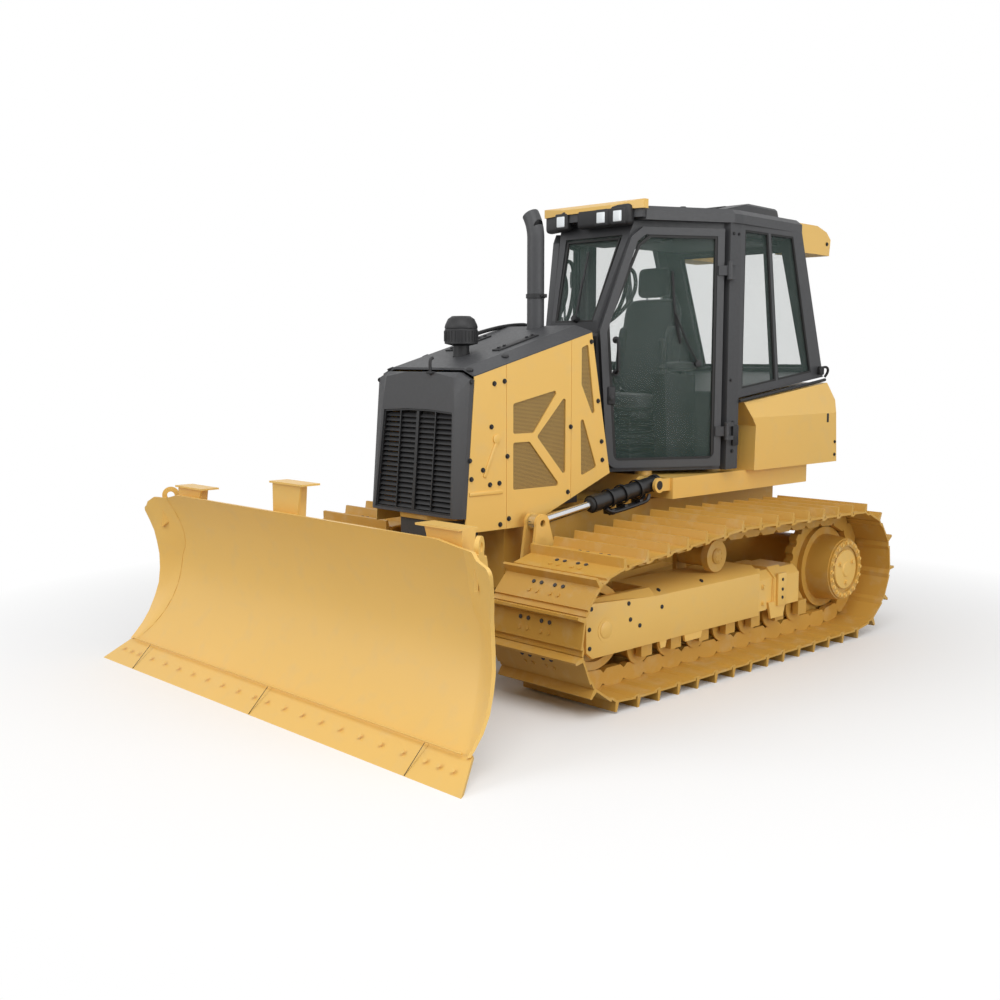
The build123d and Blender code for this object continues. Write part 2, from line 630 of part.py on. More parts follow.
# mast brackets on the blade's top edge: middle y, top z
bracket_places = ((1100.0, 1048.0), (-1100.0, 1048.0), (-98.0, 1150.0))
bracket_half, bracket_rear_x, bracket_front_x, bracket_plate = 150.0, 1830.0, 1944.0, 10.0
with BuildPart() as moldboard:
    with BuildSketch(side_plane(0)):
        with BuildLine():
            face = ThreePointArc(*arc_points(blade_face_r, edge_top_z, blade_top_z))
            back = ThreePointArc(*arc_points(back_r, edge_top_z, blade_top_z))
            Line(face @ 1, back @ 1)
            Polyline(face @ 0, edge_point(0, edge_thickness), edge_point(115, edge_thickness),
                     edge_point(115, edge_thickness + 20), edge_point(0, edge_thickness + 20), back @ 0)
        make_face()
    extrude(amount=blade_half_width, both=True)
    # horizontal stiffeners behind the plate
    for z, height, half in ((rib_z, rib_height, rib_half), (top_rib_z, top_rib_height, top_rib_half)):
        with BuildSketch(side_plane(0)):
            with BuildLine():
                low, high = z - height / 2, z + height / 2
                inner = ThreePointArc(*arc_points(back_r - 4, low, high))
                Polyline(inner @ 0, (face_x(z, back_r) - rib_depth, low + 25),
                         (face_x(z, back_r) - rib_depth, high - 25), inner @ 1)
            make_face()
        extrude(amount=half, both=True)
    # bearing for the tilt pin and lug for the tilt cylinder's rod eye, both rooted in the plate
    with BuildPart(mode=Mode.PRIVATE) as lugs:
        bearing_x = yoke_rear_x + yoke_plate + 10
        with BuildSketch(Plane.YZ.offset(bearing_x)):
            with Locations((0, tilt_pin_z)):
                Circle(95)
                Circle(tilt_pin_r + fit_gap, mode=Mode.SUBTRACT)
        extrude(amount=face_x(tilt_pin_z) + 30 - bearing_x)
        with BuildSketch(side_plane(tilt_eye_y)):
            with Locations(((tilt_x + 29 + face_x(tilt_z) + 30) / 2, tilt_z)):
                Rectangle(face_x(tilt_z) + 30 - tilt_x - 29, 110)
        extrude(amount=55, both=True)
        with BuildSketch(side_plane(0)):
            with BuildLine():
                root = ThreePointArc(*arc_points(blade_face_r + 6, edge_top_z, blade_top_z))
                Polyline(root @ 0, (edge_tip_x, edge_top_z), (edge_tip_x, blade_top_z), root @ 1)
            make_face()
        extrude(amount=blade_half_width, both=True, mode=Mode.SUBTRACT)
    add(lugs.part)
    # sloping top corners
    for side in (-1, 1):
        with BuildSketch(Plane.YZ.offset(edge_tip_x)):
            Polygon((side * blade_top_half, blade_top_z), (side * blade_shoulder_half, blade_shoulder_z),
                    (side * (blade_half_width + 1), blade_corner_z),
                    (side * (blade_half_width + 1), blade_top_z + 100),
                    (side * blade_top_half, blade_top_z + 100), align=None)
        extrude(amount=yoke_rear_x - edge_tip_x, mode=Mode.SUBTRACT)
    # ends flared forward
    with BuildSketch(Plane.XY):
        Polygon(*end_outline(-end_bit_reach), align=None)
        Polygon(*[(x, -y) for x, y in reversed(end_outline(-end_bit_reach))], align=None)
    extrude(amount=blade_top_z + 1, mode=Mode.SUBTRACT)
    # mast brackets, each a top plate on a web and two gussets
    for y_mid, top_z in bracket_places:
        outward = 1 if y_mid > 0 else -1
        with BuildSketch(Plane.XY.offset(top_z - bracket_plate)):
            with Locations(((bracket_rear_x + bracket_front_x) / 2, y_mid)):
                Rectangle(bracket_front_x - bracket_rear_x, 2 * bracket_half)
        extrude(amount=bracket_plate)
        with BuildSketch(Plane.YZ.offset(bracket_front_x - 2 * bracket_plate)):
            Polygon((y_mid + outward * bracket_half, top_z), (y_mid - outward * bracket_half * 0.75, top_z),
                    (y_mid - outward * bracket_half * 0.35, top_rib_z),
                    (y_mid + outward * bracket_half, top_rib_z), align=None)
        extrude(amount=-bracket_plate)
        for y in (y_mid + outward * (bracket_half - bracket_plate / 2), y_mid - outward * bracket_half * 0.3):
            with BuildSketch(side_plane(y)):
                Polygon((bracket_rear_x + 10, top_z - 2), (bracket_front_x - 2 * bracket_plate, top_z - 2),
                        (bracket_front_x - 2 * bracket_plate, top_rib_z), (bracket_rear_x + 30, top_rib_z),
                        align=None)
            extrude(amount=bracket_plate / 2, both=True)
    # nothing stands proud of the face
    with BuildSketch(side_plane(0)):
        with BuildLine():
            face = ThreePointArc(*arc_points(blade_face_r, edge_top_z, blade_top_z))
            Polyline(face @ 0, (edge_tip_x + 10, edge_top_z), (edge_tip_x + 10, blade_top_z), face @ 1)
        make_face()
    extrude(amount=blade_half_width, both=True, mode=Mode.SUBTRACT)
    # end plates in the flared planes, with the lifting eyes at their tops
    inner_end = end_outline(-end_bit_reach - end_plate / cos(end_flare_angle))
    for side in (-1, 1):
        with BuildPart(mode=Mode.PRIVATE) as end:
            with BuildSketch(side_plane(0)):
                with BuildLine():
                    high_z = blade_shoulder_z - 10
                    inner = ThreePointArc(*arc_points(back_r - 4, end_low_z, high_z))
                    outer = ThreePointArc(*arc_points(back_r + end_band, end_low_z + 40, high_z))
                    Line(inner @ 0, outer @ 0)
                    Line(inner @ 1, outer @ 1)
                make_face()
            extrude(amount=blade_half_width, both=True)
            with BuildSketch(Plane.XY.offset(end_low_z - 10)):
                outer_end = end_outline(-end_bit_reach)
                Polygon(*[(x, side * y) for x, y in (outer_end[0], outer_end[3], inner_end[3], inner_end[0])],
                        align=None)
            extrude(amount=blade_top_z, mode=Mode.INTERSECT)
            with BuildSketch(ear_plane(side)):
                with BuildLine():
                    Polyline((-45, ear_z), (45, ear_z), (45, ear_z - 70), (60, ear_z - 190),
                             (-40, ear_z - 120), close=True)
                make_face()
                with Locations((0, ear_z)):
                    Circle(50)
            extrude(amount=side * end_plate)
            with BuildSketch(ear_plane(side)):
                with Locations((0, ear_z)):
                    Circle(ear_hole_r)
            extrude(amount=side * end_plate, mode=Mode.SUBTRACT)
        add(end.part)
save(moldboard.part, "moldboard")

end_bit_inner = blade_half_width - end_bit_length
joint_gap = 2.0
edge_spans = [
    (-blade_half_width, -end_bit_inner - joint_gap), (-end_bit_inner, -joint_gap / 2),
    (joint_gap / 2, end_bit_inner), (end_bit_inner + joint_gap, blade_half_width),
]
with BuildPart() as cutting_edges:
    for y_low, y_high in edge_spans:
        with BuildSketch(side_plane((y_low + y_high) / 2)):
            Polygon(face_bottom, (edge_tip_x, 0),
                    (edge_point(0, edge_thickness)[0] - edge_point(0, edge_thickness)[1] * down[0] / down[1], 0),
                    edge_point(0, edge_thickness), align=None)
        extrude(amount=(y_high - y_low) / 2, both=True)
    with BuildSketch(Plane.XY):
        Polygon(*end_outline(0), align=None)
        Polygon(*[(x, -y) for x, y in reversed(end_outline(0))], align=None)
    extrude(amount=edge_top_z + 30, mode=Mode.SUBTRACT)
save(cutting_edges.part, "cutting_edges")

# ---------------------------------------------------------------- engine, radiator and hood
hood_length = hypot(hood_front_x - hood_rear_x, hood_half_rear - hood_half_front)
hood_dir = ((hood_rear_x - hood_front_x) / hood_length, (hood_half_rear - hood_half_front) / hood_length)
deck_z = hull_top_z + deck_thickness

engine_drop = 120.0


def hood_top_at(x):
    share = (hood_front_x - x) / (hood_front_x - hood_rear_x)
    return hood_front_top_z + share * (hood_rear_top_z - hood_front_top_z)


radiator_rear_x, radiator_front_x, radiator_half, radiator_top_z = 905.0, 985.0, 330.0, 1600.0
cooler_low_z, cooler_front_x, cooler_nose_half = 800.0, 1150.0, 130.0
with BuildPart() as engine:
    with BuildSketch(side_plane(0)):
        Polygon((130, deck_z), (880, deck_z), (880, hood_top_at(880) - engine_drop),
                (130, hood_top_at(130) - engine_drop), align=None)
    extrude(amount=290, both=True)
    with BuildSketch(side_plane(0)):
        Polygon((radiator_rear_x, deck_z), (radiator_front_x, deck_z), (radiator_front_x, radiator_top_z),
                (radiator_rear_x, radiator_top_z), align=None)
    extrude(amount=radiator_half, both=True)
    # cooler under the deck, its plan narrowing between the push frame's arms
    with BuildSketch(Plane.XY.offset(cooler_low_z)):
        Polygon((radiator_rear_x, -deck_half), (radiator_front_x, -deck_half),
                (cooler_front_x, -cooler_nose_half),
                (cooler_front_x, cooler_nose_half), (radiator_front_x, deck_half),
                (radiator_rear_x, deck_half),
                align=None)
    extrude(amount=hull_top_z - cooler_low_z)
save(engine.part, "engine")

cowl_foot_x = hood_front_x + 50
cowl_up = Vector(-cowl_lean, 0, cowl_top_z - hood_bottom_z).normalized()
cowl_out = Vector(cowl_top_z - hood_bottom_z, 0, cowl_lean).normalized()
cowl_plane = Plane(origin=(cowl_foot_x, 0, hood_bottom_z), x_dir=(0, 1, 0), z_dir=cowl_out)
stretch = 1 / cowl_up.Z


def up(z):
    """Height along the leaning cowl face of a point at this height above ground."""
    return (z - hood_bottom_z) * stretch


grille_bottom_z, grille_top_z = deck_z + 14, 1500.0


def cowl_half(z):
    """Half width of the cowl's front face at this height."""
    share = (z - hood_bottom_z) / (cowl_shoulder_z - hood_bottom_z)
    return cowl_foot_half + share * (cowl_shoulder_half - cowl_foot_half)


def mirrored(points):
    """Closed outline made of these left-hand points and their mirror images."""
    return points + [(-y, z) for y, z in reversed(points)]


opening_rim = 18.0
opening = mirrored([
    (cowl_half(grille_bottom_z) - opening_rim, up(grille_bottom_z)),
    (cowl_half(grille_top_z) - opening_rim, up(grille_top_z)), (90, up(grille_top_z + 12)),
])
flare_depth = 30.0
behind_cowl = cowl_plane.offset(-cowl_depth - running_gap)
with BuildPart() as cowl:
    with BuildSketch(cowl_plane):
        Polygon(*mirrored([
            (cowl_foot_half, -20), (cowl_shoulder_half, up(cowl_shoulder_z)),
            (cowl_corner_half, up(cowl_corner_z)), (cowl_top_half, up(cowl_top_z)),
        ]), align=None)
    with BuildSketch(cowl_plane.offset(-flare_depth)):
        Polygon(*mirrored([
            (hood_half_front, -20), (hood_half_front, up(cowl_shoulder_z + 60)),
            (hood_half_front, up(hood_front_top_z)), (hood_shoulder_half, up(hood_front_top_z + hood_crown)),
        ]), align=None)
    loft(ruled=True)
    with BuildSketch(cowl_plane.offset(-flare_depth)):
        Polygon(*mirrored([
            (hood_half_front, -20), (hood_half_front, up(hood_front_top_z)),
            (hood_shoulder_half, up(hood_front_top_z + hood_crown)),
        ]), align=None)
    extrude(amount=flare_depth - cowl_depth)
    with BuildSketch(cowl_plane):
        Polygon(*opening, align=None)
    extrude(amount=-cowl_depth, mode=Mode.SUBTRACT)
    split(bisect_by=Plane.XY.offset(deck_z), keep=Keep.TOP)
save(cowl.part, "cowl")

frame_rim = 10.0
louvre_pitch = (up(grille_top_z) - up(grille_bottom_z) - 2 * frame_rim) / louvre_count
louvre_depth, louvre_tilt = 26.0, -35.0
with BuildPart() as grille:
    with BuildSketch(cowl_plane.offset(-34)):
        Polygon(*opening, align=None)
        offset(amount=-frame_rim, kind=Kind.INTERSECTION, mode=Mode.SUBTRACT)
        for y, width in ((0, 22), (-150, 8), (150, 8)):
            with Locations((y, up((grille_bottom_z + grille_top_z) / 2))):
                Rectangle(width, up(grille_top_z) - up(grille_bottom_z))
    extrude(amount=26)
    for i in range(louvre_count):
        height = up(grille_bottom_z) + frame_rim + (i + 0.5) * louvre_pitch
        half = cowl_half(hood_bottom_z + height / stretch) - opening_rim - frame_rim / 2
        louvre_plane = Plane(origin=cowl_plane.from_local_coords((0, height, -22)), x_dir=(0, 1, 0),
                             z_dir=cowl_out.rotate(Axis.Y, louvre_tilt))
        with BuildSketch(louvre_plane):
            Rectangle(2 * half, louvre_depth)
        extrude(amount=2, both=True)
save(grille.part, "grille")

stack_x, stack_y, stack_r, stack_bend_z = 195.0, 0.0, 52.0, 2500.0
stack_bend_r, stack_bend = 260.0, 34.0
scuttle_z, scuttle_thickness, scuttle_half = 1922.0, 18.0, 410.0
cleaner_x, cleaner_r, cleaner_base_z, cleaner_top_z = 800.0, 95.0, 1860.0, 2000.0
cleaner_neck_r = 46.0
with BuildPart() as hood_top:
    for x, half in ((hood_front_x - 12, hood_half_front), (hood_rear_x, hood_half_rear)):
        with BuildSketch(Plane.YZ.offset(x)):
            z = hood_top_at(x)
            Polygon((-half, z), (-hood_shoulder_half, z + hood_crown), (hood_shoulder_half, z + hood_crown),
                    (half, z), (half, z - hood_edge), (half - 14, z - hood_edge),
                    (hood_shoulder_half - 6, z + hood_crown - 12),
                    (-hood_shoulder_half + 6, z + hood_crown - 12),
                    (-half + 14, z - hood_edge), (-half, z - hood_edge), align=None)
    loft(ruled=True)
    split(bisect_by=behind_cowl, keep=Keep.BOTTOM)
    # scuttle between the hood and the cab
    with BuildSketch(Plane.XY.offset(scuttle_z)):
        Polygon((hood_rear_x + 10, scuttle_half), (cab_front_x + 12, cab_front_half),
                (cab_front_x + 12, -cab_front_half), (hood_rear_x + 10, -scuttle_half), align=None)
    extrude(amount=scuttle_thickness)
    with BuildSketch(Plane.YZ.offset(hood_rear_x)):
        Polygon(*mirrored([
            (scuttle_half, scuttle_z), (hood_half_rear - 20, hood_rear_top_z - hood_edge),
            (hood_shoulder_half - 10, hood_rear_top_z + hood_crown - 8),
        ]), align=None)
    extrude(amount=10)
    # passages for the exhaust stack and the air intake
    with BuildSketch(Plane.XY.offset(hood_front_top_z)):
        with Locations((stack_x, stack_y)):
            Circle(stack_r + 4)
        with Locations((cleaner_x, 0)):
            Circle(cleaner_neck_r + 4)
    extrude(amount=500, mode=Mode.SUBTRACT)
save(hood_top.part, "hood_top")

hood_side_plane = Plane(
    origin=(hood_front_x, hood_half_front, 0), x_dir=(hood_dir[0], hood_dir[1], 0),
    z_dir=(hood_dir[1], -hood_dir[0], 0),
)
side_seams = (300.0, 800.0)
seam_gap = 3.0
panel_low_z, panel_low_s = 850.0, 470.0
panel_rear_s, panel_rear_z = hood_length + 160, 1108.0
# mesh windows as (along, up) points on the panel
side_windows = (
    ((350, 1374), (350, 1541), (700, 1614), (505, 1374)),
    ((755, 1580), (755, 1110), (530, 1352)),
    ((350, 1062), (350, 1326), (475, 1326), (715, 1062)),
    ((882, 1640), (882, 1850), (935, 1872), (1005, 1400)),
    ((876, 1500), (884, 1105), (1012, 1150)),
)
with BuildPart() as hood_side:
    with BuildSketch(hood_side_plane.offset(-panel_thickness)):
        Polygon(
            (-cowl_lean, panel_low_z), (panel_low_s, panel_low_z), (panel_rear_s, panel_rear_z),
            (hood_length, hood_rear_top_z - hood_edge - running_gap),
            (0, hood_front_top_z - hood_edge - running_gap),
            (-cowl_lean, hood_front_top_z - hood_edge - running_gap), align=None,
        )
        for window in side_windows:
            with BuildSketch(mode=Mode.SUBTRACT):
                Polygon(*window, align=None)
                fillet(vertices(), radius=14)
    extrude(amount=panel_thickness)
    # shallow seams between the panels
    with BuildSketch(hood_side_plane):
        for seam in side_seams:
            with Locations((seam, 1500)):
                Rectangle(seam_gap, 1600)
    extrude(amount=-3, mode=Mode.SUBTRACT)
    # flange along the lower edge
    with BuildSketch(hood_side_plane.offset(-panel_thickness)):
        Polygon((panel_low_s + 30, panel_low_z + 16), (panel_rear_s - 30, panel_rear_z - 4),
                (panel_rear_s - 30, panel_rear_z + 8), (panel_low_s + 30, panel_low_z + 28), align=None)
    extrude(amount=-24)
    split(bisect_by=behind_cowl, keep=Keep.BOTTOM)
save(hood_side.part + mirror(hood_side.part, about=Plane.XZ), "hood_sides")

with BuildPart() as exhaust_stack:
    base_z = hood_top_at(stack_x - stack_r) - engine_drop + running_gap
    with BuildSketch(Plane.XY.offset(base_z)):
        with Locations((stack_x, stack_y)):
            Circle(stack_r)
    extrude(amount=stack_bend_z - base_z)
    # the outlet leans to the right
    with BuildSketch(Plane.XY.offset(stack_bend_z)):
        with Locations((stack_x, stack_y)):
            Circle(stack_r)
    revolve(axis=Axis((stack_x, stack_y - stack_bend_r, stack_bend_z), (1, 0, 0)), revolution_arc=stack_bend)
    with BuildSketch(exhaust_stack.faces().sort_by(Axis.Z)[-1]):
        Circle(stack_r - 8)
    extrude(amount=-100, mode=Mode.SUBTRACT)
save(exhaust_stack.part, "exhaust_stack")

cleaner_foot_z = hood_top_at(cleaner_x - cleaner_neck_r) - engine_drop + running_gap
with BuildPart() as precleaner:
    with BuildSketch(Plane.XZ):
        with BuildLine():
            Polyline((0, cleaner_foot_z), (cleaner_neck_r, cleaner_foot_z),
                     (cleaner_neck_r, cleaner_base_z), (cleaner_r, cleaner_base_z + 12),
                     (cleaner_r, cleaner_top_z - 50), (cleaner_r - 22, cleaner_top_z - 14),
                     (40, cleaner_top_z), (0, cleaner_top_z), close=True)
        make_face()
    revolve(axis=Axis.Z)
cleaner = Pos(cleaner_x, 0, 0) * precleaner.part
save(cleaner, "precleaner")

# ---------------------------------------------------------------- cab
door_step = door_thickness + 5


def sill_at(x):
    """Height of the cab's sloping underside behind the door post."""
    return rear_sill_z - (x - cab_rear_x) * sill_slope


door_run = hypot(cab_front_x - cab_post_x, cab_post_half - cab_front_half)
door_dir = Vector((cab_post_x - cab_front_x) / door_run, (cab_post_half - cab_front_half) / door_run, 0)
door_out = Vector(door_dir.Y, -door_dir.X, 0)
door_plane = Plane(origin=(cab_front_x, cab_front_half, 0), x_dir=door_dir, z_dir=door_out)
post_rear_x = cab_post_x - cab_post_depth
front_in = (cab_front_x - door_step * door_out.X, cab_front_half - door_step * door_out.Y)
left_plan = [
    front_in, (cab_post_x - 5, front_in[1] + (front_in[0] - cab_post_x + 5) * door_dir.Y / -door_dir.X),
    (cab_post_x - 5, cab_post_half), (post_rear_x, cab_post_half), (cab_rear_x, cab_rear_half),
]
lean_front = Plane(origin=(cab_front_x, 0, cab_waist_z), x_dir=(0, 1, 0), z_dir=(1, 0, windshield_lean))
lean_rear = Plane(origin=(cab_rear_x, 0, rear_sill_z), x_dir=(0, -1, 0), z_dir=(-1, 0, rear_lean))


def cab_volume(inset, floor_z, roof_z):
    """Closed volume of the cab, inset from its outer faces."""
    with BuildPart(mode=Mode.PRIVATE) as volume:
        with BuildSketch(Plane.XY.offset(floor_z)):
            Polygon(*left_plan, *[(x, -y) for x, y in reversed(left_plan)], align=None)
            if inset:
                offset(amount=-inset, kind=Kind.INTERSECTION)
        extrude(amount=roof_z - floor_z)
        split(bisect_by=lean_front.offset(-inset), keep=Keep.BOTTOM)
        split(bisect_by=lean_rear.offset(-inset), keep=Keep.BOTTOM)
    return volume.part


door_low_z, door_high_z = 1110.0, 2585.0
door_rear_u = door_run - 35
door_corner_r = 75.0
door_outline = [
    (62, door_low_z), (8, cab_waist_z), (205, door_high_z - 60), (280, door_high_z),
    (door_rear_u, door_high_z),
    (door_rear_u, door_low_z),
]
side_run = hypot(post_rear_x - cab_rear_x, cab_post_half - cab_rear_half)
side_dir = Vector((cab_rear_x - post_rear_x) / side_run, (cab_rear_half - cab_post_half) / side_run, 0)
rear_side_plane = Plane(
    origin=(post_rear_x, cab_post_half, 0), x_dir=side_dir, z_dir=(side_dir.Y, -side_dir.X, 0),
)
side_window_top_z = cab_roof_z - 32
sill_frame = 52.0
# front and rear edges of the two panes as distances along the wall, at the top and at the sill
side_panes = (((45, 332), (45, 480)), ((362, 660), (510, 965)))


def pane_outline(pane):
    (top_front, top_rear), (low_front, low_rear) = pane
    low_z = [sill_at(post_rear_x - u) + sill_frame for u in (low_front, low_rear)]
    return [(low_front, low_z[0]), (top_front, side_window_top_z), (top_rear, side_window_top_z),
            (low_rear, low_z[1])]


rear_window_low, rear_window_high = 80.0, 930.0
rear_window_half = cab_rear_half - 130


def cut_both_sides(plane, outline, depth, inset=0):
    """Cuts an opening through the current part's left wall and, mirrored, its right wall."""
    with BuildPart(mode=Mode.PRIVATE) as tool:
        with BuildSketch(plane.offset(40)):
            Polygon(*outline, align=None)
            if inset:
                offset(amount=-inset, kind=Kind.INTERSECTION)
        extrude(amount=-depth)
    add(tool.part, mode=Mode.SUBTRACT)
    add(mirror(tool.part, about=Plane.XZ), mode=Mode.SUBTRACT)


hinge_u, hinge_n = door_run - 6.5, 24.0
hinge_pin_r, knuckle_r, knuckle_height = 8.0, 16.0, 60.0
hinge_zs = (1330.0, 2330.0)
hinge_point = door_plane.from_local_coords((hinge_u, 0, hinge_n))

with BuildPart() as cab_frame:
    add(cab_volume(0, cab_floor_z, cab_roof_z))
    add(cab_volume(cab_wall, cab_floor_z + 40, cab_roof_z - 40), mode=Mode.SUBTRACT)
    # the rear of the cab stands over the rear body on a sloping floor
    below_x = cab_rear_x - 300
    with BuildSketch(side_plane(0)):
        Polygon((post_rear_x - 10, cab_floor_z - 1), (post_rear_x - 10, sill_at(post_rear_x - 10)),
                (below_x, sill_at(below_x)), (below_x, cab_floor_z - 1), align=None)
    extrude(amount=cab_post_half + 10, both=True, mode=Mode.SUBTRACT)
    with BuildSketch(side_plane(0)):
        Polygon((post_rear_x - 10, cab_floor_z), (post_rear_x + 30, cab_floor_z),
                (post_rear_x + 30, sill_at(post_rear_x + 30) + 40),
                (cab_rear_x + 50, sill_at(cab_rear_x + 50) + 40),
                (cab_rear_x + 50, sill_at(cab_rear_x + 50)), (post_rear_x - 10, sill_at(post_rear_x - 10)),
                align=None)
    extrude(amount=cab_rear_half - 30, both=True)
    cut_both_sides(door_plane, door_outline, 150, inset=35)
    for pane in side_panes:
        cut_both_sides(rear_side_plane, pane_outline(pane), 120)
    with BuildSketch(lean_front.offset(20)):
        Polygon((-cab_front_half + 70, 60), (cab_front_half - 70, 60), (cab_front_half + 10, 620),
                (-cab_front_half - 10, 620), align=None)
    extrude(amount=-120, mode=Mode.SUBTRACT)
    with BuildSketch(lean_rear.offset(20)):
        Polygon((-rear_window_half, rear_window_low), (rear_window_half, rear_window_low),
                (rear_window_half, rear_window_high), (-rear_window_half, rear_window_high), align=None)
    extrude(amount=-120, mode=Mode.SUBTRACT)
    # instrument cowl that reaches forward under the scuttle
    with BuildSketch(side_plane(0)):
        Polygon((cab_front_x - cab_wall, cab_floor_z), (cab_front_x + 160, cab_floor_z + 60),
                (cab_front_x + 230, scuttle_z - 20), (cab_front_x - cab_wall, scuttle_z - 20), align=None)
    extrude(amount=cab_front_half - 60, both=True)
    # hinge brackets and pins for the doors
    for side in (-1, 1):
        for z in hinge_zs:
            for below in (z - knuckle_height / 2 - running_gap - 25, z + knuckle_height / 2 + running_gap):
                with BuildSketch(Plane.XY.offset(below)):
                    with Locations((hinge_point.X, side * hinge_point.Y)):
                        Circle(knuckle_r - 2)
                    with Locations(((hinge_point.X + cab_post_x - 40) / 2, side * (hinge_point.Y - 5))):
                        Rectangle(hinge_point.X - cab_post_x + 40, 2 * (hinge_point.Y - 5 - cab_post_half + 4))
                extrude(amount=25)
            with BuildSketch(Plane.XY.offset(z - knuckle_height / 2 - 10)):
                with Locations((hinge_point.X, side * hinge_point.Y)):
                    Circle(hinge_pin_r)
            extrude(amount=knuckle_height + 20)
save(cab_frame.part, "cab_frame")

roof_overhang, roof_thickness = 12.0, 85.0
lamp_low_z, lamp_high_z = 2640.0, 2690.0
visor_half, visor_bow_half, visor_bow, visor_top_z = 415.0, 200.0, 100.0, 2745.0
roof_front_x = cab_front_x - windshield_lean * (cab_roof_z - cab_waist_z)
roof_rear_x = cab_rear_x + rear_lean * (cab_roof_z - rear_sill_z)
with BuildPart() as cab_roof:
    with BuildSketch(Plane.XY.offset(cab_roof_z)):
        left_roof = [(roof_front_x, 400), (cab_post_x - 30, cab_post_half + roof_overhang),
                     (post_rear_x, cab_post_half + roof_overhang), (roof_rear_x, cab_rear_half + 25)]
        Polygon(*left_roof, *[(x, -y) for x, y in reversed(left_roof)], align=None)
    extrude(amount=roof_thickness)
    chamfer(cab_roof.faces().sort_by(Axis.Z)[-1].edges(), length=30)
    # black housings for the front lamps: a raised pair in the middle and one at the right
    with BuildSketch(Plane.XY.offset(lamp_low_z)):
        Polygon((roof_front_x - 60, visor_half - 20), (roof_front_x + 30, visor_half - 20),
                (roof_front_x + 85, visor_bow_half), (roof_front_x + 85, -visor_bow_half),
                (roof_front_x + 30, -visor_half + 20), (roof_front_x - 60, -visor_half + 20), align=None)
    extrude(amount=lamp_high_z - lamp_low_z)
save(cab_roof.part, "cab_roof")

roof_top_z = cab_roof_z + roof_thickness
with BuildPart() as air_conditioner:
    with BuildSketch(side_plane(0)):
        Polygon((-1030, roof_top_z), (-1080, roof_top_z + 22), (-1490, 2818), (-1810, 2808), (-1850, roof_top_z),
                align=None)
    extrude(amount=360, both=True)
    chamfer(air_conditioner.faces().sort_by(Axis.Y)[0].edges().group_by(Axis.Z)[-1]
            + air_conditioner.faces().sort_by(Axis.Y)[-1].edges().group_by(Axis.Z)[-1], length=14)
save(air_conditioner.part, "air_conditioner")

with BuildPart() as front_lights:
    with BuildSketch(Plane.XY.offset(lamp_high_z)):
        Polygon((roof_front_x + running_gap, visor_half), (roof_front_x + 45, visor_half),
                (roof_front_x + visor_bow, visor_bow_half), (roof_front_x + visor_bow, -visor_bow_half),
                (roof_front_x + 45, -visor_half), (roof_front_x + running_gap, -visor_half), align=None)
    extrude(amount=visor_top_z - lamp_high_z)
    with BuildSketch(side_plane(0)):
        Polygon((roof_front_x + 40, visor_top_z), (roof_front_x + visor_bow + 1, visor_top_z - 26),
                (roof_front_x + visor_bow + 1, visor_top_z + 1), align=None)
    extrude(amount=visor_half, both=True, mode=Mode.SUBTRACT)
save(front_lights.part, "front_lights")

rear_light_low_z, rear_light_top_z = 2500.0, 2695.0


def rear_face_x(z):
    """Rear face of the cab at this height, on its leaning stretch."""
    return cab_rear_x + rear_lean * (z - rear_sill_z) - running_gap


with BuildPart() as rear_light:
    with BuildSketch(side_plane(cab_rear_half - 105)):
        Polygon((rear_face_x(rear_light_low_z), rear_light_low_z), (rear_face_x(cab_roof_z), cab_roof_z),
                (roof_rear_x - running_gap, cab_roof_z), (roof_rear_x - running_gap, rear_light_top_z),
                (-1990, rear_light_top_z - 4), (-2110, 2655), (-2165, 2606), (-2150, 2495),
                (-1985, rear_light_low_z),
                align=None)
    extrude(amount=110, both=True)
save(rear_light.part + mirror(rear_light.part, about=Plane.XZ), "rear_lights")

with BuildPart() as windshield:
    with BuildSketch(lean_front.offset(-20)):
        Polygon((-cab_front_half + 70, 60), (cab_front_half - 70, 60), (cab_front_half + 10, 620),
                (-cab_front_half - 10, 620), align=None)
    extrude(amount=glass_thickness)
save(windshield.part, "windshield")

with BuildPart() as cab_glass:
    for pane in side_panes:
        with BuildSketch(rear_side_plane.offset(-20)):
            Polygon(*pane_outline(pane), align=None)
        extrude(amount=glass_thickness)
    mirror(about=Plane.XZ)
    with BuildSketch(lean_rear.offset(-20)):
        Polygon((-rear_window_half, rear_window_low), (rear_window_half, rear_window_low),
                (rear_window_half, rear_window_high), (-rear_window_half, rear_window_high), align=None)
    extrude(amount=glass_thickness)
save(cab_glass.part, "cab_glass")

door_frame_width = 46.0
with BuildPart() as door_frame:
    with BuildSketch(door_plane.offset(-door_thickness)):
        Polygon(*door_outline, align=None)
        fillet(vertices().group_by(Axis.Y)[0].sort_by(Axis.X)[:1], radius=door_corner_r)
        with BuildSketch(mode=Mode.SUBTRACT):
            Polygon(*door_outline, align=None)
            offset(amount=-door_frame_width, kind=Kind.INTERSECTION)
            fillet(vertices().group_by(Axis.Y)[0], radius=door_corner_r - 30)
    extrude(amount=door_thickness)
    for z in hinge_zs:
        with BuildSketch(Plane.XY.offset(z - knuckle_height / 2)):
            with Locations((hinge_point.X, hinge_point.Y)):
                Circle(knuckle_r)
            leaf = [door_plane.from_local_coords((u, 0, n)) for u, n in
                    ((hinge_u - 70, -2), (hinge_u - 30, -2), (hinge_u, hinge_n - 18),
                     (hinge_u, hinge_n), (hinge_u - 70, 10))]
            Polygon(*[(corner.X, corner.Y) for corner in leaf], align=None)
            with Locations((hinge_point.X, hinge_point.Y)):
                Circle(hinge_pin_r + fit_gap, mode=Mode.SUBTRACT)
        extrude(amount=knuckle_height)
save_pair(door_frame.part, "door_frame")
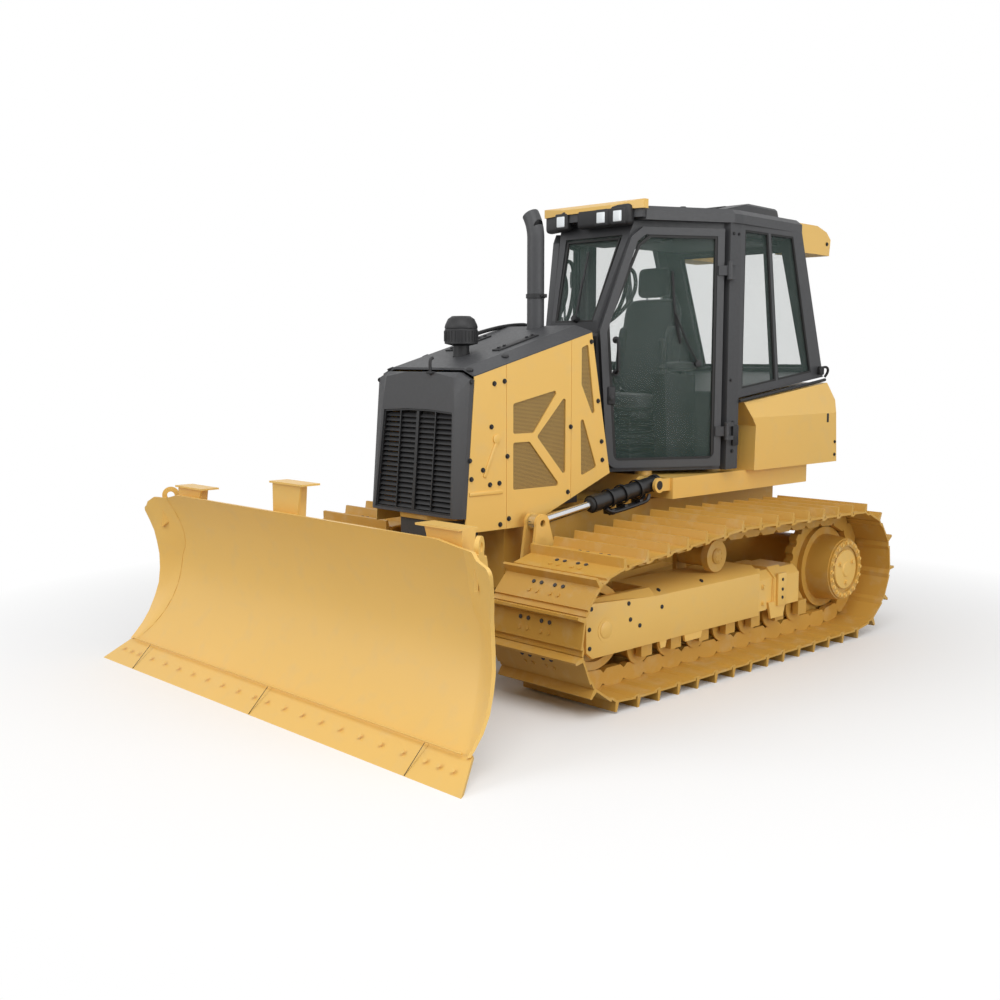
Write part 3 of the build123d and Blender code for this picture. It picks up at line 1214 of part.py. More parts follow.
with BuildPart() as door_glass:
    with BuildSketch(door_plane.offset(-door_thickness + 14)):
        Polygon(*door_outline, align=None)
        offset(amount=-door_frame_width, kind=Kind.INTERSECTION)
        fillet(vertices().group_by(Axis.Y)[0], radius=door_corner_r - 30)
    extrude(amount=glass_thickness)
save_pair(door_glass.part, "door_glass")

# ---------------------------------------------------------------- seat and consoles
seat_x = -690.0
floor_top = cab_floor_z + 40
with BuildPart() as seat:
    with BuildSketch(side_plane(0)):
        Polygon((seat_x - 150, floor_top), (seat_x + 180, floor_top), (seat_x + 150, floor_top + 330),
                (seat_x - 160, floor_top + 330), align=None)
    extrude(amount=170, both=True)
    with BuildSketch(side_plane(0)):
        Polygon((seat_x - 230, floor_top + 330), (seat_x + 260, floor_top + 330), (seat_x + 270, floor_top + 440),
                (seat_x - 90, floor_top + 430), (seat_x - 190, floor_top + 1060), (seat_x - 300, floor_top + 1060),
                align=None)
    extrude(amount=240, both=True)
    with BuildSketch(side_plane(0)):
        Polygon((seat_x - 290, floor_top + 1060), (seat_x - 205, floor_top + 1060), (seat_x - 225, floor_top + 1260),
                (seat_x - 300, floor_top + 1260), align=None)
    extrude(amount=130, both=True)
save(seat.part, "seat")

with BuildPart() as consoles:
    with BuildSketch(side_plane(0)):
        Polygon((seat_x - 220, floor_top), (seat_x + 60, floor_top), (seat_x + 100, floor_top + 560),
                (seat_x - 220, floor_top + 560), align=None)
    extrude(amount=370, both=True)
    with BuildSketch(side_plane(0)):
        Rectangle(3000, 6000)
    extrude(amount=270, both=True, mode=Mode.SUBTRACT)
save(consoles.part, "consoles")

# ---------------------------------------------------------------- rear body, platform and drawbar
tank_crease_z, tank_crease_in = 1400.0, 45.0
with BuildPart() as rear_body:
    with BuildSketch(side_plane(0)):
        Polygon((tank_front_x - 100, platform_z), (tank_front_x - 110, tank_front_top_z - 155),
                (tank_front_x, tank_front_top_z), (tank_rear_x + 122, tank_rear_top_z),
                (tank_rear_x + 26, tank_rear_top_z - 165), (tank_rear_x, platform_z), align=None)
    extrude(amount=tank_half, both=True)
    # sides that lean in above the crease
    for side in (-1, 1):
        with BuildSketch(Plane.YZ.offset(tank_rear_x - 10)):
            Polygon((side * (tank_half + 1), tank_crease_z), (side * (tank_half + 1), tank_rear_top_z + 50),
                    (side * (tank_half - tank_crease_in - 10), tank_rear_top_z + 50), align=None)
        extrude(amount=tank_front_x - tank_rear_x + 20, mode=Mode.SUBTRACT)
    rear_edges = rear_body.faces().sort_by(Axis.X)[0].edges().sort_by(Axis.Y)
    chamfer([rear_edges[0], rear_edges[-1]], length=40)
save(rear_body.part, "rear_body")

with BuildPart() as platform:
    with BuildSketch(Plane.XY.offset(deck_z)):
        with Locations(((platform_front_x + hull_rear_x) / 2, 0)):
            Rectangle(platform_front_x - hull_rear_x, 2 * platform_half)
    extrude(amount=platform_z - deck_z)
    # ears for the lift cylinders' trunnions
    for side in (-1, 1):
        for ear in (-1, 1):
            ear_mid = side * lift_y + ear * (lift_barrel_r + clearance + 10)
            with BuildSketch(side_plane(ear_mid)):
                with Locations(((platform_front_x + lift_trunnion_x) / 2, lift_trunnion_z)):
                    Rectangle(lift_trunnion_x - platform_front_x, 76)
                with Locations((lift_trunnion_x, lift_trunnion_z)):
                    Circle(46)
                    Circle(lift_trunnion_r + fit_gap, mode=Mode.SUBTRACT)
            extrude(amount=10, both=True)
    # rubber mounts under the cab
    with BuildSketch(Plane.XY.offset(platform_z)):
        with Locations((-480, 300), (-480, -300), (-960, 480), (-960, -480)):
            Circle(55)
    extrude(amount=cab_floor_z - platform_z)
save(platform.part, "platform")

hitch_z, hitch_pin_r, hitch_rear_x = 560.0, 21.0, -2260.0
with BuildPart() as drawbar:
    with BuildSketch(Plane.XY.offset(hitch_z - 70)):
        with Locations(((hull_rear_x + hitch_rear_x) / 2, 0)):
            Rectangle(hull_rear_x - hitch_rear_x, 180)
    extrude(amount=140)
    with BuildSketch(Plane.XY.offset(hitch_z - 35)):
        with Locations((hitch_rear_x + 75, 0)):
            Rectangle(150, 182)
    extrude(amount=70, mode=Mode.SUBTRACT)
    with BuildSketch(Plane.XY.offset(hitch_z - 70)):
        with Locations((hitch_rear_x + 60, 0)):
            Circle(hitch_pin_r)
    extrude(amount=140, mode=Mode.SUBTRACT)
save(drawbar.part, "drawbar")
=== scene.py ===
"""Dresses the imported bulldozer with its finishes, glass, lamps, fastenings and cab fittings."""
import json
from math import acos, atan2, cos, pi, radians, sin

import bmesh
import bpy
from mathutils import Matrix, Vector


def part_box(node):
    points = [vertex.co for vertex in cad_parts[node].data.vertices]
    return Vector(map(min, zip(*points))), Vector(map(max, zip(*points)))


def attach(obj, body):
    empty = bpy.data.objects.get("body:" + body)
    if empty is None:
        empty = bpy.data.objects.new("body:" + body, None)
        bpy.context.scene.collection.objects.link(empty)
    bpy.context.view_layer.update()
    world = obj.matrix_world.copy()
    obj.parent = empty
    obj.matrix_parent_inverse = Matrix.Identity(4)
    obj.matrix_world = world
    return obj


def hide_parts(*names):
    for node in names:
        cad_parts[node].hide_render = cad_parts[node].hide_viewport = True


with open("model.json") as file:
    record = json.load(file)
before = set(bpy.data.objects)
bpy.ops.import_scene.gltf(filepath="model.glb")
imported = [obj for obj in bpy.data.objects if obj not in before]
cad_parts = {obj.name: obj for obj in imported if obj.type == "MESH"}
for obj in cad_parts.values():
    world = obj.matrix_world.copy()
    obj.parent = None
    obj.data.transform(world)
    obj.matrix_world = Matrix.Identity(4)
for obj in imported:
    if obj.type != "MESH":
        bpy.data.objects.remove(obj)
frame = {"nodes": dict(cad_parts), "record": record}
NODES = frame["nodes"]
SLOT_OF = {part["node"]: part["material_slot"] for part in frame["record"]["subparts"]}
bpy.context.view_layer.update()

bl_info = {
    "name": "Crawler Bulldozer Dressing",
    "version": (1, 0, 0),
    "blender": (4, 5, 0),
    "location": "View3D > Sidebar > Bulldozer",
    "description": "Finishes, glass, lamps and fittings for a crawler bulldozer",
    "category": "Object",
}


# ---------------------------------------------------------------- settings
class DozerColours(bpy.types.PropertyGroup):
    """Colours of the machine's finishes."""
    body: bpy.props.FloatVectorProperty(
        name="Body paint", description="Yellow of the body, blade and undercarriage", subtype="COLOR",
        size=3, default=(0.835, 0.520, 0.130), min=0.0, max=1.0)
    # The track paint is a darker, more orange copy of the body yellow: painted shade for the undercarriage and main
    # frame, with more dust than the body.
    tracks: bpy.props.FloatVectorProperty(
        name="Track paint", description="Deeper, scuffed yellow of the tracks and rollers", subtype="COLOR",
        size=3, default=(0.600, 0.335, 0.058), min=0.0, max=1.0)
    trim: bpy.props.FloatVectorProperty(
        name="Trim paint", description="Charcoal of the cab and radiator cowl", subtype="COLOR",
        size=3, default=(0.044, 0.045, 0.048), min=0.0, max=1.0)
    black: bpy.props.FloatVectorProperty(
        name="Black", description="Black of the grille, hoses and plastic", subtype="COLOR",
        size=3, default=(0.009, 0.009, 0.010), min=0.0, max=1.0)
    glass: bpy.props.FloatVectorProperty(
        name="Glass tint", description="Green-grey tint of the cab glass", subtype="COLOR",
        size=3, default=(0.16, 0.24, 0.21), min=0.0, max=1.0)
    steel: bpy.props.FloatVectorProperty(
        name="Plated steel", description="Bright cylinder rods", subtype="COLOR",
        size=3, default=(0.72, 0.72, 0.73), min=0.0, max=1.0)


class DozerStage(bpy.types.PropertyGroup):
    """Floor, lamps and camera."""
    key: bpy.props.FloatProperty(name="Key lamp", description="Power of the overhead soft lamp", default=330.0,
                                 min=0.0, unit="POWER")
    fill: bpy.props.FloatProperty(name="Fill lamp", description="Power of the front fill lamp", default=200.0,
                                  min=0.0, unit="POWER")
    side: bpy.props.FloatProperty(name="Side lamp", description="Power of the lamp on the left side", default=230.0,
                                  min=0.0, unit="POWER")
    sky: bpy.props.FloatProperty(name="Sky", description="Strength of the surrounding light", default=0.42, min=0.0)
    lens: bpy.props.FloatProperty(name="Lens", description="Camera focal length", default=0.04314, unit="CAMERA")


# ---------------------------------------------------------------- shader maths
class Shade:
    """A node socket that takes part in arithmetic."""

    def __init__(self, tree, socket):
        self.tree = tree
        self.socket = socket

    def _math(self, operation, first, second=None):
        node = self.tree.nodes.new("ShaderNodeMath")
        node.operation = operation
        for socket, value in zip(node.inputs, (first, second)):
            if isinstance(value, Shade):
                self.tree.links.new(value.socket, socket)
            elif value is not None:
                socket.default_value = value
        return Shade(self.tree, node.outputs[0])

    def __add__(self, other):
        return self._math("ADD", self, other)

    def __mul__(self, other):
        return self._math("MULTIPLY", self, other)

    def __sub__(self, other):
        return self._math("SUBTRACT", self, other)

    def __rsub__(self, other):
        return self._math("SUBTRACT", other, self)

    def __pow__(self, other):
        return self._math("POWER", self, other)

    __radd__ = __add__
    __rmul__ = __mul__

    def above(self, level):
        return self._math("GREATER_THAN", self, level)

    def larger(self, other):
        return self._math("MAXIMUM", self, other)

    def sine(self):
        return self._math("SINE", self)

    def size(self):
        return self._math("ABSOLUTE", self)

    def clamped(self):
        return self._math("MINIMUM", self.larger(0.0), 1.0)


class NodeTree:
    """The nodes of a material or a world, and the one method that adds them."""

    def __init__(self, owner):
        owner.use_nodes = True
        self.tree = owner.node_tree
        self.tree.nodes.clear()

    def node(self, kind, settings=None, output=0, **sockets):
        """New node with these settings and the values or links of its sockets, which _0 and so on number."""
        made = self.tree.nodes.new(kind)
        for key, value in (settings or {}).items():
            setattr(made, key, value)
        for key, value in sockets.items():
            socket = made.inputs[int(key[1:])] if key[1:].isdigit() else made.inputs[key.replace("_", " ")]
            if isinstance(value, Shade):
                self.tree.links.new(value.socket, socket)
            elif hasattr(value, "__len__") and len(value) == 3 and len(socket.default_value) == 4:
                socket.default_value = (*value, 1.0)
            else:
                socket.default_value = value
        return Shade(self.tree, made.outputs[output]) if made.outputs else None

    def outputs(self, kind, names, **sockets):
        """Several outputs of one new node."""
        made = self.node(kind, **sockets).socket.node
        return [Shade(self.tree, made.outputs[name]) for name in names]


class Finish(NodeTree):
    """A material under construction."""

    def __init__(self, name):
        self.material = bpy.data.materials.new(name)
        super().__init__(self.material)
        self.place = self.node("ShaderNodeTexCoord", output="Object")

    def noise(self, scale, detail=3.0):
        return self.node("ShaderNodeTexNoise", Vector=self.place, Scale=scale, Detail=detail, Roughness=0.55)

    def mix(self, share, first, second):
        return self.node("ShaderNodeMix", {"data_type": "RGBA"}, output=2, _0=share, _6=first, _7=second)

    def bump(self, height, distance, strength=1.0):
        return self.node("ShaderNodeBump", Height=height, Distance=distance, Strength=strength)

    def axes(self):
        """The three Object coordinates as separate values."""
        return self.outputs("ShaderNodeSeparateXYZ", "XYZ", Vector=self.place)

    def close(self, shader):
        self.node("ShaderNodeOutputMaterial", Surface=shader)
        return self.material

    def surface(self, **sockets):
        return self.close(self.node("ShaderNodeBsdfPrincipled", **sockets))


# ---------------------------------------------------------------- finishes
def scaled(colour, factor):
    return tuple(min(1.0, channel * factor) for channel in colour)


def body_paint(colour, name="body_paint", dust=0.16, roughness=0.42):
    """Semi-gloss paint with faint mottling, patches of dust and orange peel."""
    finish = Finish(name)
    mottle = finish.noise(1.7, 4.0)
    grain = finish.noise(60.0, 3.0)
    base = finish.mix(mottle * 0.55, scaled(colour, 1.02), scaled(colour, 0.90))
    dusty = finish.mix(((finish.noise(9.0, 5.0) - 0.52) * 5.0).clamped() * dust, base, (0.62, 0.47, 0.25))
    return finish.surface(Base_Color=dusty, Roughness=grain * 0.16 + (roughness - 0.08), Metallic=0.0,
                          Coat_Weight=0.12, Coat_Roughness=0.25,
                          Normal=finish.bump(finish.noise(420.0, 2.0), 0.0006, 0.25))


def trim_paint(colour, name="trim_paint", roughness=0.5):
    """Fine-textured charcoal powder coat."""
    finish = Finish(name)
    wear = finish.noise(2.4, 4.0)
    base = finish.mix(wear * 0.6, scaled(colour, 1.15), scaled(colour, 0.82))
    return finish.surface(Base_Color=base, Roughness=finish.noise(45.0) * 0.2 + (roughness - 0.1),
                          Normal=finish.bump(finish.noise(650.0, 2.0), 0.0005, 0.45))


def black_plastic(colour, name="black_plastic", roughness=0.55):
    """Grained moulded plastic."""
    finish = Finish(name)
    cells = finish.node("ShaderNodeTexVoronoi", Vector=finish.place, Scale=700.0)
    base = finish.mix(finish.noise(5.0) * 0.7, scaled(colour, 1.5), scaled(colour, 0.8))
    return finish.surface(Base_Color=base, Roughness=finish.noise(30.0) * 0.15 + (roughness - 0.07),
                          Normal=finish.bump(cells, 0.0004, 0.5))


def cab_glass(colour):
    """Tinted safety glass, seen through, with a faint film of dust."""
    finish = Finish("cab_glass")
    film = (finish.noise(3.0, 5.0) - 0.45).clamped()
    return finish.surface(Base_Color=finish.mix(film * 0.3, colour, (0.30, 0.34, 0.32)), Roughness=0.05,
                          Alpha=film * 0.05 + 0.11, IOR=1.3)


def plated_steel(colour, name="plated_steel", roughness=0.14):
    """Ground and plated rod with faint, cloudy wear."""
    finish = Finish(name)
    streak = finish.noise(18.0, 4.0)
    return finish.surface(Base_Color=finish.mix(streak * 0.4, colour, scaled(colour, 0.85)), Metallic=1.0,
                          Roughness=streak * 0.1 + roughness)


def cast_iron():
    """Dark iron with the grit of its casting."""
    finish = Finish("cast_iron")
    grit = finish.noise(120.0, 5.0)
    return finish.surface(Base_Color=finish.mix(grit, (0.035, 0.034, 0.033), (0.075, 0.072, 0.07)), Roughness=0.7,
                          Normal=finish.bump(grit, 0.0015, 0.6))


def seat_cloth():
    """Charcoal woven seat fabric."""
    finish = Finish("seat_cloth")
    warp, weft = (finish.node("ShaderNodeTexWave", {"wave_type": "BANDS", "bands_direction": way},
                              Vector=finish.place, Scale=160.0) for way in "YZ")
    weave = warp * weft
    return finish.surface(Base_Color=finish.mix(weave, (0.018, 0.018, 0.02), (0.05, 0.05, 0.053)), Roughness=0.9,
                          Sheen_Weight=0.3, Normal=finish.bump(weave, 0.0008, 0.5))


def screen_mesh(colour):
    """Painted perforated sheet: small holes in rows, coloured near-black as painted shade for the dark engine bay
    behind them.
    """
    finish = Finish("screen_mesh")
    along, _, up = finish.axes()
    holes = ((along * 420.0).sine() * (up * 420.0).sine()).size().above(0.30)
    # Near-black in the holes is painted shade; the sheet between them is drawn at 0.62 of the body colour.
    base = finish.mix(holes * 0.82, scaled(colour, 0.62), (0.03, 0.022, 0.012))
    return finish.surface(Base_Color=base, Roughness=finish.noise(30.0) * 0.1 + 0.5,
                          Normal=finish.bump(holes, 0.001, 0.6))


def black_rubber():
    """Matt extruded rubber with a slight bloom."""
    finish = Finish("black_rubber")
    bloom = finish.noise(14.0, 4.0)
    return finish.surface(Base_Color=finish.mix(bloom, (0.008, 0.008, 0.008), (0.022, 0.022, 0.022)),
                          Roughness=bloom * 0.15 + 0.62, Normal=finish.bump(finish.noise(300.0), 0.0004, 0.4))


def lamp_lens(colour=(0.72, 0.76, 0.78), name="lamp_lens"):
    """Moulded lamp lens with fine crossed flutes and a faint painted glow that stands in for light off the reflector
    behind it.
    """
    finish = Finish(name)
    _, across, up = finish.axes()
    flutes = ((across * 900.0).sine() * (up * 900.0).sine()) * 0.5 + 0.5
    base = finish.mix(flutes * 0.5, colour, scaled(colour, 0.6))
    # Emission_Strength 0.25 is a painted glow for the reflector's light.
    return finish.surface(Base_Color=base, Roughness=0.12, Emission_Color=base, Emission_Strength=0.25,
                          Coat_Weight=0.8, Normal=finish.bump(flutes, 0.0008, 0.5))


def pale_floor():
    """Matt pale floor that fades into the white surroundings far from the machine."""
    finish = Finish("studio_floor")
    along, across, _ = finish.axes()
    reach = (along * along + across * across) ** 0.5
    fade = ((reach - 2.2) * 0.35 + 0.18).clamped()
    camera_ray = finish.node("ShaderNodeLightPath", output="Is Camera Ray")
    tone = finish.mix(camera_ray, (0.46, 0.46, 0.46), (0.95, 0.95, 0.95))
    matt = finish.node("ShaderNodeBsdfPrincipled", Base_Color=tone, Roughness=0.9)
    white = finish.node("ShaderNodeEmission", Color=(1.0, 1.0, 1.0), Strength=1.0)
    return finish.close(finish.node("ShaderNodeMixShader", _0=camera_ray * fade, _1=matt, _2=white))


FINISHES = {}
# Pieces that take the darker track paint as painted shade; the main frame is here only for that painted shade.
SHADED_UNDERCARRIAGE_PIECES = ("track_left", "track_right", "sprockets", "idlers", "track_rollers", "carrier_rollers", "main_frame")


def assign(obj, material):
    obj.data.materials.clear()
    obj.data.materials.append(material)


# ---------------------------------------------------------------- shaping
FORWARD, BACKWARD, LEFT, UP = (1, 0, 0), (-1, 0, 0), (0, 1, 0), (0, 0, 1)


def standing(centre, axis):
    """Matrix that puts a shape's own z along the axis at the centre."""
    turn = Vector(axis).normalized().to_track_quat("Z", "Y").to_matrix().to_4x4()
    return Matrix.Translation(Vector(centre)) @ turn


def in_plane(origin, along, outward):
    """Matrix whose x runs along, z points outward and y completes them, at the origin."""
    z = Vector(outward).normalized()
    x = (Vector(along) - z * Vector(along).dot(z)).normalized()
    y = z.cross(x)
    place = Matrix((x, y, z)).transposed().to_4x4()
    place.translation = Vector(origin)
    return place


def raised(place, height):
    """The same plane, moved along its own z."""
    return place @ Matrix.Translation((0.0, 0.0, height))


def tilted(centre, degrees):
    """Matrix at the centre, tipped about the machine's cross axis."""
    return Matrix.Translation(centre) @ Matrix.Rotation(radians(degrees), 4, "Y")


def edges_of(verts):
    """Edges of these vertices, each once and in a fixed order."""
    return list(dict.fromkeys(edge for vert in verts for edge in vert.link_edges))


class Form:
    """A mesh under construction from bmesh operators."""

    def __init__(self):
        self.bm = bmesh.new()

    def _bevel(self, edges, width, segments=2):
        if width:
            bmesh.ops.bevel(self.bm, geom=edges, offset=width, segments=segments, profile=0.5,
                            affect="EDGES", material=-1, clamp_overlap=True)
        return self

    def _thicken(self, faces, depth):
        """Extrudes the faces by a vector, keeps them as the other side and gives the new edges."""
        new = bmesh.ops.extrude_face_region(self.bm, geom=faces, use_keep_orig=True)["geom"]
        bmesh.ops.translate(self.bm, vec=depth, verts=[item for item in new if isinstance(item, bmesh.types.BMVert)])
        return [item for item in new if isinstance(item, bmesh.types.BMEdge)]

    def block(self, size, place, bevel=0.0, segments=2):
        """Box of this size, centred on the place (a point or a matrix)."""
        if not isinstance(place, Matrix):
            place = Matrix.Translation(Vector(place))
        made = bmesh.ops.create_cube(self.bm, size=1.0, matrix=place @ Matrix.Diagonal((*size, 1.0)))
        return self._bevel(edges_of(made["verts"]), bevel, segments)

    def bar(self, start, end, section, outward, bevel, segments=2):
        """Straight bar between two points, with this width and height and its top turned outward."""
        place = in_plane((start + end) / 2, end - start, outward)
        return self.block(((end - start).length, *section), place, bevel, segments)

    def drum(self, centre, axis, radius, depth, sides=24, top=None, bevel=0.0):
        """Round, tapered or hexagonal post centred on a point."""
        made = bmesh.ops.create_cone(self.bm, cap_ends=True, segments=sides, radius1=radius,
                                     radius2=radius if top is None else top, depth=depth,
                                     matrix=standing(centre, axis))
        rims = [edge for edge in edges_of(made["verts"]) if any(len(face.verts) > 4 for face in edge.link_faces)]
        return self._bevel(rims, bevel)

    def bolt(self, centre, axis, radius=0.010, height=0.008):
        """Hexagon head on a flange, seated at the centre."""
        axis = Vector(axis).normalized()
        centre = Vector(centre)
        self.drum(centre + axis * height * 0.14, axis, radius * 1.35, height * 0.32, sides=12)
        return self.drum(centre + axis * height * 0.55, axis, radius, height, sides=6, top=radius * 0.93)

    def bolt_ring(self, centre, ring, count, radius, height, start=0.0):
        """Bolts that face sideways, evenly spaced on a ring from the start angle."""
        x, y, z = centre
        for step in range(count):
            angle = 2 * pi * step / count + start
            self.bolt((x + ring * cos(angle), y, z + ring * sin(angle)), LEFT, radius, height)

    def _take(self, other):
        """Moves another mesh into this one."""
        mesh = bpy.data.meshes.new("share")
        other.to_mesh(mesh)
        other.free()
        self.bm.from_mesh(mesh)
        bpy.data.meshes.remove(mesh)
        return self

    def turned(self, profile, centre, axis, steps=32):
        """Solid of revolution from (radius, height) points."""
        lathe = bmesh.new()
        verts = [lathe.verts.new((radius, 0.0, height)) for radius, height in profile]
        edges = [lathe.edges.new(pair) for pair in zip(verts, verts[1:])]
        bmesh.ops.spin(lathe, geom=verts + edges, cent=(0, 0, 0), axis=UP, angle=2 * pi, steps=steps,
                       use_merge=True)
        bmesh.ops.remove_doubles(lathe, verts=lathe.verts[:], dist=1e-6)
        bmesh.ops.transform(lathe, matrix=standing(centre, axis), verts=lathe.verts[:])
        return self._take(lathe)

    def band(self, inner, outer, half, centre, axis):
        """Flat-sided ring."""
        profile = [(inner, -half), (outer, -half), (outer, half), (inner, half), (inner, -half)]
        return self.turned(profile, centre, axis)

    def pad(self, size, place, crown=0.3, channels=(), piping=0.006):
        """Upholstered pad: crowned faces, sides that pull in to the seam, sewn channels and piping."""
        groove_depth, groove_half = 0.22, 0.07
        foam = bmesh.new()
        bmesh.ops.create_cube(foam, size=2.0)
        bmesh.ops.subdivide_edges(foam, edges=foam.edges[:], cuts=15, use_grid_fill=True)
        for vert in foam.verts:
            u, v, w = vert.co
            fall = (1 - abs(u) ** 4) * (1 - abs(v) ** 4)
            groove = sum(groove_depth * max(0.0, 1 - abs(u - channel) / groove_half) for channel in channels)
            height = w * (1 - crown + crown * max(0.0, fall) - groove * fall)
            corner = 1 - 0.10 * (abs(u) * abs(v)) ** 6
            waist = 0.96 * corner * (1 - 0.04 * abs(w) ** 3) * (1.05 - 0.05 * abs(w))
            vert.co = (u * waist, v * waist, height)
        bmesh.ops.smooth_vert(foam, verts=foam.verts[:], factor=0.5, use_axis_x=True, use_axis_y=True,
                              use_axis_z=True)
        bmesh.ops.transform(foam, matrix=place @ Matrix.Diagonal((*(part / 2 for part in size), 1.0)),
                            verts=foam.verts[:])
        self._take(foam)
        if piping:
            half_u, half_v = size[0] / 2 * 0.955, size[1] / 2 * 0.955
            corners = [(1, 0), (1, 1), (0, 1), (-1, 1), (-1, 0), (-1, -1), (0, -1), (1, -1), (1, 0)]
            self.tube([place @ Vector((u * half_u, v * half_v, 0.0)) for u, v in corners], piping)
        return self

    def plate(self, outline, place, depth, rim=None, bevel=0.0):
        """Flat plate, or with rim a frame of that width, from an outline in the place's own plane."""
        face = self.bm.faces.new([self.bm.verts.new(place @ Vector((x, y, 0.0))) for x, y in outline])
        face.normal_update()
        faces = [face]
        if rim:
            faces = bmesh.ops.inset_region(self.bm, faces=faces, thickness=rim, use_even_offset=True,
                                           use_boundary=True)["faces"]
            bmesh.ops.delete(self.bm, geom=[face], context="FACES_ONLY")
        edges = self._thicken(faces, place.to_3x3() @ Vector((0.0, 0.0, depth)))
        return self._bevel(edges, bevel)

    def web(self, lines, depth):
        """Curved plate strung across these lines, thickened by the depth vector."""
        chains, faces = [], []
        for line in lines:
            verts = [self.bm.verts.new(point) for point in line]
            chains.append([self.bm.edges.new(pair) for pair in zip(verts, verts[1:])])
        for near, far in zip(chains, chains[1:]):
            faces += bmesh.ops.bridge_loops(self.bm, edges=near + far)["faces"]
        self._thicken(faces, depth)
        return self

    def tube(self, points, radius, sides=3):
        """Round bar or pipe along a smooth line that these points pull."""
        line = bpy.data.curves.new("line", "CURVE")
        line.dimensions = "3D"
        line.bevel_depth, line.bevel_resolution, line.resolution_u = radius, sides, 6
        line.use_fill_caps = True
        spline = line.splines.new("NURBS")
        spline.points.add(len(points) - 1)
        for knot, point in zip(spline.points, points):
            knot.co = (*point, 1.0)
        spline.order_u = 3
        spline.use_endpoint_u = True
        carrier = bpy.data.objects.new("line", line)
        mesh = bpy.data.meshes.new_from_object(carrier)
        self.bm.from_mesh(mesh)
        bpy.data.objects.remove(carrier)
        bpy.data.curves.remove(line)
        bpy.data.meshes.remove(mesh)
        return self

    def both_sides(self):
        """Adds the mirror image about the machine's middle plane."""
        bmesh.ops.mirror(self.bm, geom=self.bm.verts[:] + self.bm.edges[:] + self.bm.faces[:],
                         matrix=Matrix.Identity(4), merge_dist=-1.0, axis="Y")
        return self

    def piece(self, name, finish="black_plastic", body="chassis", flip=False, slot=None, crease=35.0):
        """Closes the form, mirrored to the right-hand side with flip, into an object that rides on a body."""
        if flip:
            bmesh.ops.scale(self.bm, vec=(1.0, -1.0, 1.0), verts=self.bm.verts[:])
        bmesh.ops.recalc_face_normals(self.bm, faces=self.bm.faces[:])
        mesh = bpy.data.meshes.new(name)
        self.bm.to_mesh(mesh)
        self.bm.free()
        mesh.shade_smooth()
        mesh.set_sharp_from_angle(angle=radians(crease))
        obj = bpy.data.objects.new(name, mesh)
        bpy.context.collection.objects.link(obj)
        assign(obj, FINISHES[finish])
        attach(obj, body)
        return obj


# ---------------------------------------------------------------- places on the machine
class Wall:
    """Upright wall on the left side, from its front end to its rear end as seen from above."""

    def __init__(self, front, rear):
        self.front = Vector((*front, 0.0))
        self.along = (Vector((*rear, 0.0)) - self.front).normalized()
        self.out = Vector((self.along.y, -self.along.x, 0.0))

    def point(self, run, height, out=0.0):
        """Point that far along the wall, at this height, out from its face."""
        place = self.front + self.along * run + self.out * out
        return Vector((place.x, place.y, height))

    def plane(self, out=0.0):
        """Matrix of the wall, with x along it and y up, measured from the ground."""
        return in_plane(self.point(0.0, 0.0, out), self.along, self.out)


HOOD = Wall((1.130, 0.390), (0.165, 0.432))
DOOR = Wall((-0.124, 0.228), (-0.867, 0.650))
CAB = Wall((-0.987, 0.650), (-2.130, 0.568))
HOOD_NORMAL = (0.265, 0.0, 0.965)
SIDES = (("left", False), ("right", True))
TRACK_Y = 0.955
TRACK_SHOES = 39
SPROCKET, IDLER, CARRIER = (-1.470, 0.435), (0.830, 0.400), (-0.180, 0.662)
# x, z and radius of the path of the track's pins round each wheel
PIN_CIRCLES = ((*IDLER, 0.290), (*CARRIER, 0.120), (*SPROCKET, 0.325))


def middle(outline):
    """Mean of an outline's points."""
    return tuple(sum(values) / len(outline) for values in zip(*outline))


def grown(outline, factor):
    """Outline enlarged about its middle."""
    mid_x, mid_y = middle(outline)
    return [(mid_x + (x - mid_x) * factor, mid_y + (y - mid_y) * factor) for x, y in outline]


def hood_top_z(x, y=0.0):
    """Height of the hood's top skin, a sloping plane with a flat crown that falls away at its sides."""
    front_x, front_z, length, climb = 1.130, 1.680, 0.965, 0.265
    crown, flat, half = 0.038, 0.300, 0.432
    share = 1.0 if abs(y) < flat else (half - abs(y)) / (half - flat)
    return front_z + (front_x - x) / length * climb + crown * share


def loop_stretches(circles):
    """Arcs and runs of a track loop round (x, z, radius) wheels: each one's length and a point along it."""
    after = circles[1:] + circles[:1]
    leaning = [atan2(z2 - z1, x2 - x1) - acos((r1 - r2) / Vector((x2 - x1, z2 - z1)).length)
               for (x1, z1, r1), (x2, z2, r2) in zip(circles, after)]
    stretches = []
    for (x, z, r), (next_x, next_z, next_r), start, end in zip(circles, after, leaning[-1:] + leaning, leaning):
        stretches.append((r * ((end - start) % (2 * pi)), lambda s, x=x, z=z, r=r, a=start:
                          Vector((x + r * cos(a + s / r), z + r * sin(a + s / r)))))
        p = Vector((x + r * cos(end), z + r * sin(end)))
        q = Vector((next_x + next_r * cos(end), next_z + next_r * sin(end)))
        stretches.append(((q - p).length, lambda s, p=p, q=q: p + (q - p).normalized() * s))
    return stretches


def shoe_places():
    """Middle and direction of each track shoe, on the line of its pins."""
    stretches = loop_stretches(PIN_CIRCLES)
    total = sum(length for length, _ in stretches)
    pins = []
    for number in range(TRACK_SHOES):
        s = (number + 0.5) * total / TRACK_SHOES
        for length, at in stretches:
            if s <= length:
                break
            s -= length
        pins.append(at(s))
    return [((a + b) / 2, (b - a).normalized()) for a, b in zip(pins, pins[1:] + pins[:1])]


